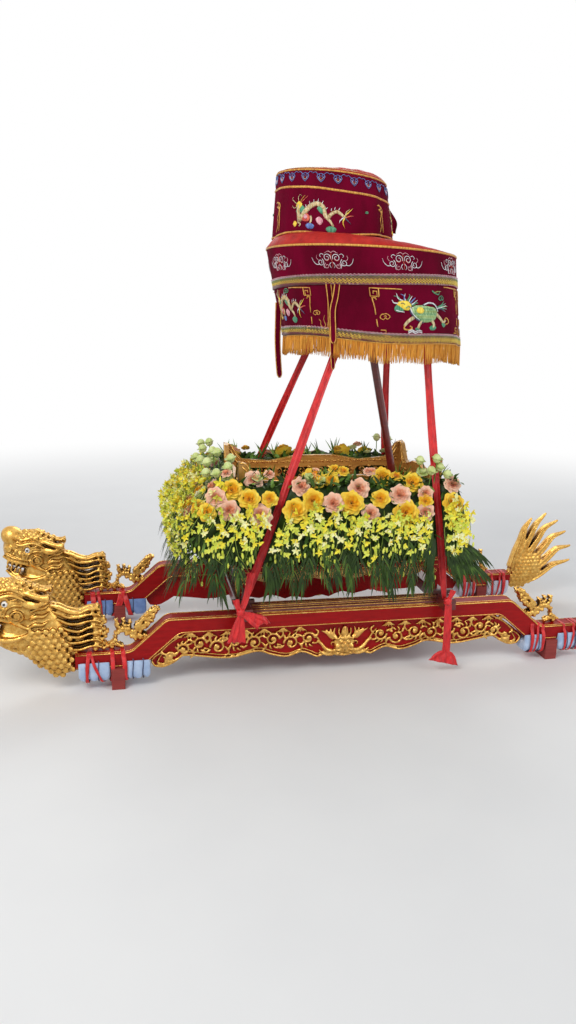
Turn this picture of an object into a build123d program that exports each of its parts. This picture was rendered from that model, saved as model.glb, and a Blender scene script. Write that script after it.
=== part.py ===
from build123d import *
import math
import os

os.makedirs("parts", exist_ok=True)

# A hand-carried processional palanquin, in millimetres. +X runs along the poles to the tails,
# the dragon heads are at -X, +Z is up, and the origin is on the floor at the middle.

# Driving dimensions of the two poles
pole_spacing = 780.0
pole_width = 76.0
beam_top = 300.0
beam_depth = 70.0
beam_half_flat = 790.0
slope_run = 155.0
slope_setback = 48.0
low_top = 163.0
low_depth = 68.0
low_length = 233.0
bend_radius = 60.0

# Dragon heads and tails
neck_core = 60.0
skull_core = 84.0
head_crown = 22.0
head_taper = 35.0
band_relief = 6.0
jaw_thickness = 104.0
nose_radius = 52.0
eye_radius = 15.0
cheek_radius = 30.0
horn_length = 118.0
horn_spread = 36.0
mane_thickness = 64.0
mane_strands = 6
mane_pitch = 29.0
crest_thickness = 38.0
tail_thickness = 56.0

# Apron boards and carving below the beams
apron_board = 14.0
apron_end_gap = 36.0
carving_depth = 9.0
carving_line = 9.0
mask_radius = 46.0
mask_drop = 100.0

# Crossbars, pegs and stepped rails
crossbar_x = 460.0
crossbar_width = 60.0
crossbar_rise = 40.0
crossbar_notch = 10.0
crossbar_overhang = 57.0
notch_gap = 0.3
peg_radius = 8.0
peg_depth = 95.0
peg_grip = 54.0
peg_bar_length = 98.0
peg_bar_width = 22.0
peg_bar_thickness = 16.0
peg_gap = 0.08
peg_bottom_gap = 6.0
step_lower_width = 60.0
step_lower_height = 20.0
step_upper_width = 42.0
step_upper_height = 16.0

# Foot blocks and shoulder pads
block_inset = 175.0
block_length = 56.0
block_width = 116.0
pad_thickness = 66.0
pad_width = 112.0
pad_wrap = 38.0
pad_outer_clear = 7.0
pad_inner_length = 112.0
soft_gap = 0.3

# Altar
altar_half_length = 450.0
altar_half_width = 270.0
foot_height = 100.0
foot_size = 78.0
base_height = 34.0
base_overhang = 24.0
case_height = 224.0
post_size = 42.0
panel_thickness = 12.0
panel_setback = 10.0
top_height = 42.0
top_overhang = 30.0
apron_thickness = 12.0
rail_height = 112.0
rail_thickness = 18.0
rail_inset = 14.0
corner_rise = 96.0

# Parasol
lean_degrees = 12.1
shaft_radius = 18.0
shaft_foot_x = 345.0
shaft_top_gap = 12.0
socket_size = 110.0
socket_height = 64.0
fit_gap = 0.1
cover_thickness = 3.0
lower_radius = 427.0
lower_centre_x = 127.0
lower_rim_z = 1842.0
lower_rim_tilt = 2.0
lower_skirt = 370.0
lower_hem_radius = 411.0
lower_hem_shift = 65.0
lower_hem_tilt = 3.4
upper_radius = 241.0
upper_centre_x = -17.0
upper_rim_z = 2157.0
upper_rim_tilt = 4.5
upper_skirt = 250.0
upper_hem_radius = 264.0
upper_hem_shift = 12.0
upper_hem_tilt = 1.0
dome_rise = 38.0
roof_rise = 66.0
hoop_radius = 7.0
hoop_slack = 1.5
rib_width = 12.0
rib_count = 8
hub_height = 40.0
hub_wall = 14.0
fringe_drop = 88.0
fringe_thickness = 5.0

# Guy ribbons, from a rib to a crossbar's end
ribbon_width = 42.0
ribbon_thickness = 1.6
ribbon_press = 4.0
ribbon_shift = 18.0

# Flowers
flower_bottom = 514.0
flower_gap = 0.3

# Sizes that follow from those above
pole_y = pole_spacing / 2
low_underside = low_top - low_depth
beam_underside = beam_top - beam_depth
slope_foot = beam_half_flat + slope_run
pole_end = slope_foot + low_length
block_x = pole_end - block_inset
pad_outer_length = block_inset - block_length / 2 - soft_gap - pad_outer_clear
slope_under_high = beam_half_flat - slope_setback
slope_under_reach = slope_run * (beam_underside - low_underside) / (beam_top - low_top)
slope_under_low = slope_under_high + slope_under_reach
crossbar_half_length = pole_y + pole_width / 2 + crossbar_overhang
crossbar_top = beam_top + crossbar_rise
base_z = crossbar_top + foot_height
case_z = base_z + base_height
top_z = case_z + case_height
altar_top = top_z + top_height
lean = math.radians(lean_degrees)


def save(name, shape):
    """Write one node."""
    shape.label = name
    export_step(shape, f"parts/{name}.step")


def outline_face(points, radius=0.0, sharp=()):
    """A face with straight sides; every corner is rounded but those listed in sharp."""
    face = make_face(Polyline(*points, close=True))
    if radius:
        corners = [v for v in face.vertices() if not any(math.dist((v.X, v.Y), p) < 0.01 for p in sharp)]
        face = fillet(corners, radius)
    return face


def plate(face, thickness):
    """A face drawn in x, z made into a plate of equal thickness to both sides of y = 0."""
    return extrude(Plane.XZ * face, amount=thickness / 2, both=True)


def mirror_points(points):
    """The outline's points with x turned over, in reverse order."""
    return [(-x, z) for x, z in reversed(points)]


def box_between(low, high):
    """A box from its low corner to its high corner."""
    size = [b - a for a, b in zip(low, high)]
    return Pos(*low) * Box(*size, align=(Align.MIN, Align.MIN, Align.MIN))


def wave(points, widths):
    """A tapering band of arcs. It has five centre points and a width at each; the last is the tip."""
    sides = ([], [])
    for index, (point, width) in enumerate(zip(points, widths)):
        before = Vector(*points[max(index - 1, 0)])
        after = Vector(*points[min(index + 1, len(points) - 1)])
        along = (after - before).normalized()
        across = Vector(-along.Y, along.X) * width / 2
        sides[0].append(Vector(*point) + across)
        sides[1].append(Vector(*point) - across)
    upper, lower = sides
    edges = [ThreePointArc(*upper[0:3]), ThreePointArc(*upper[2:5])]
    edges += [ThreePointArc(*lower[0:3]), ThreePointArc(*lower[2:5])]
    edges += [Line(upper[0], lower[0]), Line(upper[4], lower[4])]
    return make_face(edges)


# Poles: raised middle, slopes and low ends, all in one outline
def make_pole():
    right = [
        (slope_under_high, beam_underside),
        (slope_under_low, low_underside),
        (pole_end, low_underside),
        (pole_end, low_top),
        (slope_foot, low_top),
        (beam_half_flat, beam_top),
    ]
    ends = [(side * pole_end, z) for side in (-1, 1) for z in (low_underside, low_top)]
    pole = plate(outline_face(right + mirror_points(right), bend_radius, ends), pole_width)
    bore_depth = peg_depth - crossbar_rise + peg_bottom_gap
    for side in (-1, 1):
        bore = Cylinder(peg_radius + peg_gap, bore_depth, align=(Align.CENTER, Align.CENTER, Align.MAX))
        pole -= Pos(side * crossbar_x, 0, beam_top) * bore
    return pole


# Dragon head. The columns of its outlines are the distance out from the pole's end and the
# height above the pole's underside.
neck_outline = [
    (0, 0), (30, -26), (78, -30), (177, 52), (248, 104), (290, 150), (262, 250), (206, 352), (118, 340),
    (70, 262), (24, 165), (0, 68),
]
skull_outline = [
    (150, 210), (262, 222), (340, 246), (378, 270), (386, 318), (378, 352), (330, 372), (284, 372),
    (251, 404), (206, 410), (158, 390), (112, 330),
]
jaw_outline = [
    (180, 120), (262, 108), (318, 142), (362, 176), (368, 212), (346, 226), (300, 192), (230, 200),
    (180, 190),
]
# Bands carved on both cheeks: a brow, an upper lip, a lower lip and a curled beard.
face_bands = [
    ((318, 352), (286, 330), (246, 340), (206, 352), (150, 340)),
    ((380, 290), (338, 262), (290, 250), (250, 234), (204, 226)),
    ((362, 196), (318, 168), (272, 150), (226, 142), (170, 160)),
    ((300, 140), (256, 112), (214, 92), (178, 86), (140, 100)),
]
band_widths = [16, 22, 24, 22, 4]
# The nose, eye, cheek curl and the root of the horn.
head_features = [(334, 374), (254, 303), (226, 246), (196, 378)]


def placed(points):
    """Points given out from the front end of a pole, as x and z."""
    return [(-(pole_end + out), low_underside + up) for out, up in points]


def carved(face, core, crown, taper):
    """A plate whose outer edges slope in by the taper angle over a crown on both sides."""
    cap = Pos(0, -core / 2, 0) * extrude(Plane.XZ * face, amount=crown, taper=taper)
    return plate(face, core) + cap + mirror(cap, Plane.XZ)


def make_head():
    joint = placed([neck_outline[0], neck_outline[-1]])
    head = carved(outline_face(placed(neck_outline), 14, joint), neck_core, head_crown, head_taper)
    head += carved(outline_face(placed(skull_outline), 12), skull_core, head_crown, head_taper)
    head += plate(outline_face(placed(jaw_outline), 8), jaw_thickness)
    for band in face_bands:
        head += plate(wave(placed(band), band_widths), skull_core + 2 * (head_crown + band_relief))
    (nose_x, nose_z), (eye_x, eye_z), (cheek_x, cheek_z), (ear_x, ear_z) = placed(head_features)
    head += Pos(nose_x, 0, nose_z) * Sphere(nose_radius)
    half = skull_core / 2 + head_crown
    for hand in (-1, 1):
        head += Pos(eye_x, hand * (half - eye_radius * 0.6), eye_z) * Sphere(eye_radius)
        cheek = Pos(cheek_x, hand * (half - 4), cheek_z)
        head += cheek * Rot(90, 0, 0) * Cylinder(cheek_radius, 22)
        head += cheek * Sphere(cheek_radius * 0.55)
        horn = Plane((ear_x, hand * horn_spread, ear_z), z_dir=(1, hand * 0.2, 0.12))
        head += horn * Cone(24, 6, horn_length, align=(Align.CENTER, Align.CENTER, Align.MIN))
    return head


# Mane: wavy strands that leave the neck one above another and end free. The columns are the
# distance in from the root, the rise above the strand's own height, and the width.
mane_wave = [(-18, 22, 25), (22, 3, 27), (84, 0, 27), (138, 10, 25), (186, -2, 5)]


def make_mane():
    foot = low_top + soft_gap
    root_x = -pole_end - 66
    mane = outline_face([
        (root_x, foot), (root_x + 92, foot), (root_x + 84, foot + 70), (root_x + 52, foot + 150),
        (root_x + 4, foot + 212), (root_x - 50, foot + 216)])
    for strand in range(mane_strands):
        z = foot + 20 + mane_pitch * strand
        points = [(root_x + inward, z + rise) for inward, rise, width in mane_wave]
        mane += wave(points, [width for inward, rise, width in mane_wave])
    return plate(mane, mane_thickness)


# Flame crest on each slope. The columns are the distance in from the pole's end, the height
# above the low end's top, and the lobe's radius.
crest_lobes = [
    (140, 22, 12), (151, 6, 12), (157, 28, 14), (177, 19, 14), (194, 9, 12), (166, 40, 12),
    (168, 56, 11), (174, 74, 12), (188, 92, 16), (178, 104, 13), (175, 117, 11), (173, 130, 9),
    (217, 82, 18), (204, 110, 12), (202, 128, 10), (226, 100, 13), (231, 118, 10), (242, 68, 18),
    (262, 48, 17), (288, 54, 16), (268, 88, 17), (285, 102, 17), (303, 122, 17), (320, 142, 17),
    (337, 160, 14), (350, 172, 10), (262, 110, 10), (285, 126, 10), (300, 146, 10), (318, 165, 10),
    (302, 98, 10), (322, 119, 10),
]


def make_crest():
    crest = None
    for inward, up, radius in crest_lobes:
        lobe = Pos(-pole_end + inward, low_top + up) * Circle(radius)
        crest = lobe if crest is None else crest + lobe
    crest -= make_pole_shadow()
    return plate(crest, crest_thickness)


def make_pole_shadow():
    """The pole's own outline at the front slope, which the crest's foot follows."""
    grown = soft_gap
    return make_face(Polyline(
        (-pole_end - 50, low_top + grown), (-slope_foot - 8, low_top + grown),
        (-beam_half_flat - 8, beam_top + grown), (0, beam_top + grown), (0, 0), (-pole_end - 50, 0),
        close=True))


# Tails: a body that rises from the pole's rear end and splits into flame tongues. The columns of
# each tongue are the distance out from the pole's end and the height above its underside.
tail_tongues = [
    ((60, 20), (130, 18), (205, 52), (285, 96), (388, 128)),
    ((90, 60), (165, 84), (235, 138), (300, 190), (384, 214)),
    ((80, 100), (146, 140), (206, 200), (262, 262), (346, 300)),
    ((60, 120), (112, 176), (160, 246), (208, 316), (290, 366)),
    ((40, 120), (78, 186), (112, 262), (150, 338), (214, 410)),
    ((20, 90), (40, 166), (66, 240), (82, 314), (128, 384)),
]
tail_widths = [44, 46, 40, 30, 4]


def make_tail():
    body = [
        (0, 0), (30, -20), (84, -26), (150, 6), (196, 60), (206, 120), (176, 170), (112, 200), (40, 160),
        (0, 68)]
    points = [(pole_end + out, low_underside + up) for out, up in body]
    tail = outline_face(points, 12, [points[0], points[-1]])
    for tongue in tail_tongues:
        tail += wave([(pole_end + out, low_underside + up) for out, up in tongue], tail_widths)
    return plate(tail, tail_thickness)


# Apron board: red, with a scalloped lower edge. The columns are the share of the half length and
# the drop below the beam, from the end to the middle.
apron_edge = [
    (1.0, 138), (0.986, 156), (0.953, 162), (0.92, 156), (0.88, 138), (0.84, 116), (0.745, 126),
    (0.652, 138), (0.582, 138), (0.52, 126), (0.452, 118), (0.386, 138), (0.308, 152), (0.233, 134), (0.186, 146),
    (0.142, 162), (0.086, 146), (0.035, 160), (0.0, 164),
]


def make_apron_face():
    tuck = 6.0
    top = [(0, beam_underside - soft_gap), (slope_under_high - 5 * tuck, beam_underside - soft_gap)]
    for share in (0.55, 0.86):
        drop = (beam_underside - low_underside) * share
        top.append((slope_under_high + slope_under_reach * share - tuck, beam_underside - drop))
    half = slope_under_low - apron_end_gap
    right = top + [(share * half, beam_underside - drop) for share, drop in apron_edge]
    left = [(-x, z) for x, z in reversed(right[1:-1])]
    return make_face(Polyline(*right, *left, close=True))


def make_apron():
    return plate(make_apron_face(), apron_board)


# Carving on the apron's outer face: a rim along the edge, C scrolls and a mask in the middle.
# The columns are each scroll's centre x, depth below the beam, radius, and the angles of its arc.
scrolls = [
    (150, 74, 36, -60, 210), (226, 62, 44, 20, 250), (306, 84, 38, -150, 100), (380, 52, 40, -30, 200),
    (452, 80, 36, -170, 80), (530, 56, 44, 0, 230), (610, 78, 38, -160, 90), (682, 52, 36, 10, 220),
    (748, 96, 34, -170, 60), (806, 128, 24, 0, 230),
]


def ring_arc(x, z, radius, start, end):
    """A C shaped band about x, z with round ends, from one angle to another in degrees."""
    angles = [math.radians(start + (end - start) * share) for share in (0, 0.5, 1)]
    half = carving_line * 0.8
    outer = [(x + (radius + half) * math.cos(a), z + (radius + half) * math.sin(a)) for a in angles]
    inner = [(x + (radius - half) * math.cos(a), z + (radius - half) * math.sin(a)) for a in angles]
    edges = [ThreePointArc(*outer), ThreePointArc(*inner)]
    edges += [Line(outer[0], inner[0]), Line(outer[2], inner[2])]
    band = make_face(edges)
    for a in (angles[0], angles[2]):
        band += Pos(x + radius * math.cos(a), z + radius * math.sin(a)) * Circle(half * 1.7)
    return band


def make_carving():
    face = make_apron_face()
    pattern = face - offset(face, amount=-carving_line, kind=Kind.INTERSECTION)
    for x, drop, radius, start, end in scrolls:
        band = ring_arc(x, beam_underside - drop, radius, start, end)
        pattern += band + mirror(band, Plane.YZ)
    pattern += Pos(0, beam_underside - mask_drop) * Circle(mask_radius)
    mask_z = beam_underside - mask_drop
    root = mask_radius * 0.8
    for angle in range(10, 180, 32):
        turn = math.radians(angle)
        low, high = turn - 0.3, turn + 0.3
        pattern += make_face(Polyline(
            (root * math.cos(low), mask_z + root * math.sin(low)),
            (1.9 * mask_radius * math.cos(turn), mask_z + 1.7 * mask_radius * math.sin(turn)),
            (root * math.cos(high), mask_z + root * math.sin(high)),
            close=True))
    pattern &= face
    return extrude(Plane.XZ * pattern, amount=carving_depth)


# Crossbars lie over both poles in shallow notches
def make_crossbar():
    half = crossbar_width / 2
    low = (-half, -crossbar_half_length, beam_top - crossbar_notch)
    bar = box_between(low, (half, crossbar_half_length, crossbar_top))
    bar = chamfer(bar.faces().sort_by(Axis.Z)[-1].edges(), 5)
    for side in (-1, 1):
        reach = pole_width / 2 + notch_gap
        seat = (-half - 1, side * pole_y - reach, beam_top - crossbar_notch - 1)
        bar -= box_between(seat, (half + 1, side * pole_y + reach, beam_top))
        bar -= Pos(0, side * pole_y, crossbar_top) * Cylinder(peg_radius + peg_gap, 4 * crossbar_rise)
    return bar


# Locking peg: a round shank below a flat cross handle, with a grip above it
def make_peg():
    low = (Align.CENTER, Align.CENTER, Align.MIN)
    peg = Pos(0, 0, crossbar_top - peg_depth) * Cylinder(peg_radius, peg_depth, align=low)
    peg += Pos(0, 0, crossbar_top) * Box(peg_bar_length, peg_bar_width, peg_bar_thickness, align=low)
    grip = Cone(peg_radius, peg_radius * 0.7, peg_grip, align=low)
    return peg + Pos(0, 0, crossbar_top + peg_bar_thickness) * grip


# Stepped rail between the crossbars on top of each pole
def make_step_rail():
    half = crossbar_x - crossbar_width / 2 - notch_gap
    low, high = step_lower_width / 2, step_upper_width / 2
    top = beam_top + step_lower_height
    rail = box_between((-half, -low, beam_top), (half, low, top))
    upper = box_between((-half, -high, top), (half, high, top + step_upper_height))
    return rail + chamfer(upper.edges().filter_by(Axis.X).group_by(Axis.Z)[-1], 4)


# Foot blocks under the low ends
def make_foot_blocks():
    blocks = []
    for side in (-1, 1):
        for hand in (-1, 1):
            low = (-block_length / 2, -block_width / 2, 0)
            block = box_between(low, (block_length / 2, block_width / 2, low_underside))
            blocks.append(Pos(side * block_x, hand * pole_y, 0) * block)
    return Compound(children=blocks)


# Shoulder pads: a soft roll on each side of a foot block, folded up round the pole's underside
def make_pads(side):
    rolls = []
    for hand in (-1, 1):
        for way in (-1, 1):
            start = block_length / 2 + soft_gap
            length = pad_outer_length if way == side else pad_inner_length
            height = pad_thickness + pad_wrap
            roll = Box(length, pad_width, height)
            roll = fillet(roll.edges(), pad_thickness * 0.36)
            channel = Box(2 * length, pole_width + 2 * soft_gap, height)
            roll -= Pos(0, 0, pad_thickness) * channel
            x = side * block_x + way * (start + length / 2)
            z = low_underside - soft_gap - pad_thickness + height / 2
            rolls.append(Pos(x, hand * pole_y, z) * roll)
    return Compound(children=rolls)


# Altar feet: bracket feet under the base moulding
def make_feet():
    curve = [
        (0, 0), (foot_size * 0.62, 0), (foot_size * 0.5, foot_height * 0.4),
        (foot_size * 0.78, foot_height * 0.74), (foot_size, foot_height), (0, foot_height)]
    face = outline_face(curve, 9, [curve[0], curve[4], curve[5], curve[1]])
    feet = []
    one = extrude(Plane.XZ * face, amount=-foot_size) & extrude(Plane.YZ * face, amount=foot_size)
    reach_x = altar_half_length + base_overhang
    reach_y = altar_half_width + base_overhang
    for side in (-1, 1):
        for hand in (-1, 1):
            turn = one
            if side > 0:
                turn = mirror(turn, Plane.YZ)
            if hand > 0:
                turn = mirror(turn, Plane.XZ)
            feet.append(Pos(side * reach_x, hand * reach_y, crossbar_top) * turn)
    return Compound(children=feet)


# Base and top mouldings: stepped frames; the top one is a closed board
def make_moulding(z, height, overhang, step):
    half = (altar_half_length + overhang, altar_half_width + overhang)
    slab = box_between((-half[0], -half[1], z), (half[0], half[1], z + height))
    return chamfer(slab.faces().sort_by(Axis.Z)[step].edges(), height * 0.4)


def make_altar_aprons():
    aprons = []
    reach_x = altar_half_length + base_overhang
    reach_y = altar_half_width + base_overhang
    inset = foot_size + soft_gap
    for half, turn, out in ((reach_x - inset, 0, reach_y - 10), (reach_y - inset, 90, reach_x - 10)):
        count = 6 if turn == 0 else 4
        face = make_face(Polyline((-half, -18), (half, -18), (half, 0), (-half, 0), close=True))
        pitch = 2 * half / count
        for lobe in range(count):
            face += Pos(-half + pitch * (lobe + 0.5), -18) * Ellipse(pitch / 2, 26)
        face &= make_face(Polyline((-half, -60), (half, -60), (half, 0), (-half, 0), close=True))
        board = extrude(Plane.XZ * face, amount=apron_thickness)
        for hand in (0, 180):
            aprons.append(Rot(0, 0, turn + hand) * Pos(0, -out + apron_thickness, base_z) * board)
    return Compound(children=aprons)


def make_posts():
    posts = []
    for side in (-1, 1):
        for hand in (-1, 1):
            x = side * (altar_half_length - post_size / 2)
            y = hand * (altar_half_width - post_size / 2)
            post = Pos(x, y, case_z + case_height / 2) * Box(post_size, post_size, case_height)
            posts.append(fillet(post.edges().filter_by(Axis.Z), 6))
    return Compound(children=posts)


def make_panel(half, out):
    """A wall panel with a raised field, standing at y = -out."""
    panel = box_between((-half, 0, case_z), (half, panel_thickness, case_z + case_height))
    field = box_between((-half + 40, -6, case_z + 36), (half - 40, 1, case_z + case_height - 36))
    return Pos(0, -out + panel_setback, 0) * (panel + chamfer(field.faces().sort_by(Axis.Y)[0].edges(), 5))


# Railing: a pierced board with a dipped top edge that sweeps up at both corners
def make_railing(half, out):
    z = altar_top
    high = z + rail_height
    edge = [
        (-half, z), (half, z), (half, high + corner_rise), (half - 34, high + corner_rise * 0.9),
        (half - 90, high + 12), (half * 0.5, high), (half * 0.2, high + 26)]
    edge += [(-x, zz) for x, zz in reversed(edge[2:])]
    face = outline_face(edge, 10, [edge[0], edge[1], edge[2], edge[-1]])
    openings = 4
    pitch = (2 * half - 120) / openings
    for index in range(openings):
        x = -half + 60 + pitch * (index + 0.5)
        face -= Pos(x, z + rail_height * 0.46) * SlotOverall(pitch - 22, rail_height * 0.46)
    return Pos(0, -out + rail_thickness, 0) * extrude(Plane.XZ * face, amount=rail_thickness)


# Parasol: everything on the shaft's line leans towards the heads
def shaft_x(z):
    return shaft_foot_x - (z - altar_top) * math.tan(lean)


def shaft_plane(z):
    across = (math.cos(lean), 0, math.sin(lean))
    return Plane((shaft_x(z), 0, z), x_dir=across, z_dir=(-math.sin(lean), 0, math.cos(lean)))


def make_socket():
    block = Pos(shaft_x(altar_top + socket_height / 2), 0, altar_top) * Box(
        socket_size, socket_size, socket_height, align=(Align.CENTER, Align.CENTER, Align.MIN))
    block = chamfer(block.faces().sort_by(Axis.Z)[-1].edges(), 12)
    return block - shaft_plane(altar_top) * Cylinder(shaft_radius + fit_gap, 4 * socket_height)


def make_shaft():
    limit = upper_rim_z + dome_rise - cover_thickness - shaft_top_gap
    length = (limit - altar_top) / math.cos(lean) + 60
    rod = Pos(0, 0, -30) * Cylinder(shaft_radius, length, align=(Align.CENTER, Align.CENTER, Align.MIN))
    return shaft_plane(altar_top) * rod & box_between((-600, -100, altar_top + soft_gap), (600, 100, limit))


def ring_plane(centre, z, tilt):
    """A level that is raised at the front by the tilt's angle."""
    turn = math.radians(tilt)
    across = (math.cos(turn), 0, -math.sin(turn))
    return Plane((centre, 0, z), x_dir=across, z_dir=(math.sin(turn), 0, math.cos(turn)))


def tier_skin(tier, inset):
    """A closed solid of one tier's outer form, drawn in by inset on every side but the hem."""
    radius, centre, rim_z, rim_tilt, skirt, hem_radius, hem_shift, hem_tilt, rise = tier
    level = ring_plane(centre, rim_z, rim_tilt)
    rim = level * Circle(radius - inset)
    foot = ring_plane(centre + hem_shift, rim_z - skirt - (1 if inset else 0), hem_tilt)
    skin = loft([foot * Circle(hem_radius - inset), rim], ruled=True)
    for low, high in zip(roof_rings, roof_rings[1:]):
        rings = []
        for reach, up in (low, high):
            ring = Pos(0, 0, up * rise - (inset if up else 0)) * Circle((radius - inset) * reach)
            rings.append(level * ring)
        skin += loft(rings, ruled=True)
    return skin


# Roof of each tier. The columns are shares of the rim's radius and of the rise.
roof_rings = [(1.0, 0.0), (0.72, 0.66), (0.42, 0.94), (0.16, 1.0)]


def make_cover(tier):
    return tier_skin(tier, 0) - tier_skin(tier, cover_thickness)


lower_tier = (lower_radius, lower_centre_x, lower_rim_z, lower_rim_tilt, lower_skirt, lower_hem_radius,
              lower_hem_shift, lower_hem_tilt, roof_rise)
upper_tier = (upper_radius, upper_centre_x, upper_rim_z, upper_rim_tilt, upper_skirt, upper_hem_radius,
              upper_hem_shift, upper_hem_tilt, dome_rise)


def hoop_place(tier):
    """The radius and the level of the hoop that lies inside a tier's cover, below its rim."""
    radius, centre, rim_z, rim_tilt, skirt, hem_radius, hem_shift, hem_tilt, rise = tier
    below = hoop_radius + cover_thickness
    share = below / skirt
    skin = radius + share * (hem_radius - radius)
    hoop_r = skin - cover_thickness - hoop_slack - hoop_radius
    return hoop_r, ring_plane(centre + share * hem_shift, rim_z - below, rim_tilt)


def hub_height_for(tier):
    """The height of a hub's middle on the shaft."""
    return tier[2] + tier[8] * 0.5 - hub_height - 4


def rib_ends(tier, angle):
    """A rib's middle at the hub and at the hoop."""
    hoop_r, level = hoop_place(tier)
    hub_z = hub_height_for(tier)
    turn = math.radians(angle)
    end = level.from_local_coords(Vector(hoop_r * math.cos(turn), hoop_r * math.sin(turn), 0))
    return Vector(shaft_x(hub_z), 0, hub_z), end


def make_frame(tier):
    """A hoop, a hub on the shaft, and ribs that slope from the hub to the hoop."""
    hoop_r, level = hoop_place(tier)
    hub_z = hub_height_for(tier)
    frame = level * Torus(hoop_r, hoop_radius)
    frame += shaft_plane(hub_z) * Cylinder(shaft_radius + fit_gap + hub_wall, hub_height)
    for rib in range(rib_count):
        angle = 360 * rib / rib_count
        start, end = rib_ends(tier, angle)
        line = end - start
        turn = math.radians(angle)
        plane = Plane(start, x_dir=Vector(-math.sin(turn), math.cos(turn), 0), z_dir=line)
        low = (Align.CENTER, Align.CENTER, Align.MIN)
        frame += plane * Box(rib_width, rib_width, line.length, align=low)
    return frame - shaft_plane(hub_z) * Cylinder(shaft_radius + fit_gap, 4 * hub_height)


def make_fringe():
    ring = Cylinder(lower_hem_radius, fringe_drop, align=(Align.CENTER, Align.CENTER, Align.MAX))
    ring -= Cylinder(lower_hem_radius - fringe_thickness, 3 * fringe_drop)
    hem = ring_plane(lower_centre_x + lower_hem_shift, lower_rim_z - lower_skirt, lower_hem_tilt)
    return hem * Pos(0, 0, -soft_gap) * ring


# Guy ribbons. The columns are the end of the pole, the rib's angle in degrees, and how far out
# along the rib the ribbon is tied.
guy_table = [(-1, 90, 0.47), (1, 45, 0.72)]


def ribbon_lines():
    """The plane at each ribbon's lower end, with z along it and y out from it, and its length."""
    lines = []
    for end, angle, share in guy_table:
        for hand in (-1, 1):
            foot_y = hand * (crossbar_half_length - ribbon_width / 2)
            bottom = Vector(end * crossbar_x - ribbon_shift, foot_y, crossbar_top + 2)
            hub, hoop = rib_ends(lower_tier, hand * angle)
            tie = hub + (hoop - hub) * share
            tie_z = tie.Z - rib_width / 2 - 2 * soft_gap
            top = Vector(tie.X, tie.Y, tie_z)
            line = top - bottom
            across = Vector(0, hand, 0).cross(line)
            lines.append((Plane(bottom, x_dir=across, z_dir=line), line.length, tie_z))
    return lines


def make_ribbons():
    """Strips whose ends are cut level, on the crossbar below and under the rib above."""
    strips = []
    for plane, length, tie_z in ribbon_lines():
        strip = plane * (Pos(0, 0, length / 2) * Box(ribbon_width, ribbon_thickness, length + ribbon_width))
        strips.append(strip & box_between((-2000, -2000, crossbar_top + soft_gap), (2000, 2000, tie_z)))
    return Compound(children=strips)


def ribbon_grooves():
    """Grooves that the taut ribbons press into the flowers, open to the outside."""
    grooves = []
    for plane, length, _ in ribbon_lines():
        width = ribbon_width + 2 * ribbon_press
        groove = Box(width, 300, length, align=(Align.CENTER, Align.MIN, Align.MIN))
        grooves.append(plane * (Pos(0, -ribbon_press, 0) * groove))
    return grooves


# Flowers: one bank round three sides, from rounded sections. The columns are the height, the
# reach to the front, to the rear and to the side, and the corner radius.
bank_levels = [
    (514, 640, 470, 430, 90), (580, 712, 520, 470, 120), (690, 722, 525, 480, 130),
    (790, 660, 515, 446, 120), (880, 556, 500, 376, 60),
]


def make_bank():
    bank = None
    faces = []
    for z, front, rear, side, radius in bank_levels:
        faces.append(Pos((rear - front) / 2, 0, z) * RectangleRounded(front + rear, 2 * side, radius))
    for lower, upper in zip(faces, faces[1:]):
        part = loft([lower, upper], ruled=True)
        bank = part if bank is None else bank + part
    inner_x = altar_half_length + top_overhang + flower_gap
    inner_y = altar_half_width + top_overhang + flower_gap
    bank -= box_between((-inner_x, -inner_y, 0), (2000, inner_y, 2000))
    for groove in ribbon_grooves():
        bank -= groove
    return bank


def split_bank():
    bank = make_bank()
    inner_y = altar_half_width + top_overhang + flower_gap
    near = bank & box_between((-2000, -2000, 0), (2000, -inner_y, 2000))
    far = bank & box_between((-2000, inner_y, 0), (2000, 2000, 2000))
    front = bank & box_between((-2000, -inner_y + soft_gap, 0), (2000, inner_y - soft_gap, 2000))
    return near, front, far


pole = make_pole()
head = make_head()
mane = make_mane() - head
crest = make_crest()
tail = make_tail()
apron = make_apron()
carving = make_carving()
step_rail = make_step_rail()
crossbar = make_crossbar()
peg = make_peg()

for name, hand in (("near", -1), ("far", 1)):
    place = Pos(0, hand * pole_y, 0)
    save(f"pole_{name}", place * pole)
    save(f"dragon_head_{name}", place * head)
    save(f"dragon_mane_{name}", place * mane)
    save(f"flame_crest_front_{name}", place * crest)
    save(f"flame_crest_rear_{name}", place * mirror(crest, Plane.YZ))
    save(f"tail_{name}", place * tail)
    save(f"pole_apron_{name}", place * apron)
    outward = Pos(0, -apron_board / 2 - soft_gap, 0) * carving
    if hand > 0:
        outward = mirror(outward, Plane.XZ)
    save(f"apron_carving_{name}", place * outward)
    save(f"step_rail_{name}", place * step_rail)
    for end, side in (("front", -1), ("rear", 1)):
        save(f"peg_{end}_{name}", Pos(side * crossbar_x, hand * pole_y, 0) * peg)

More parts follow.
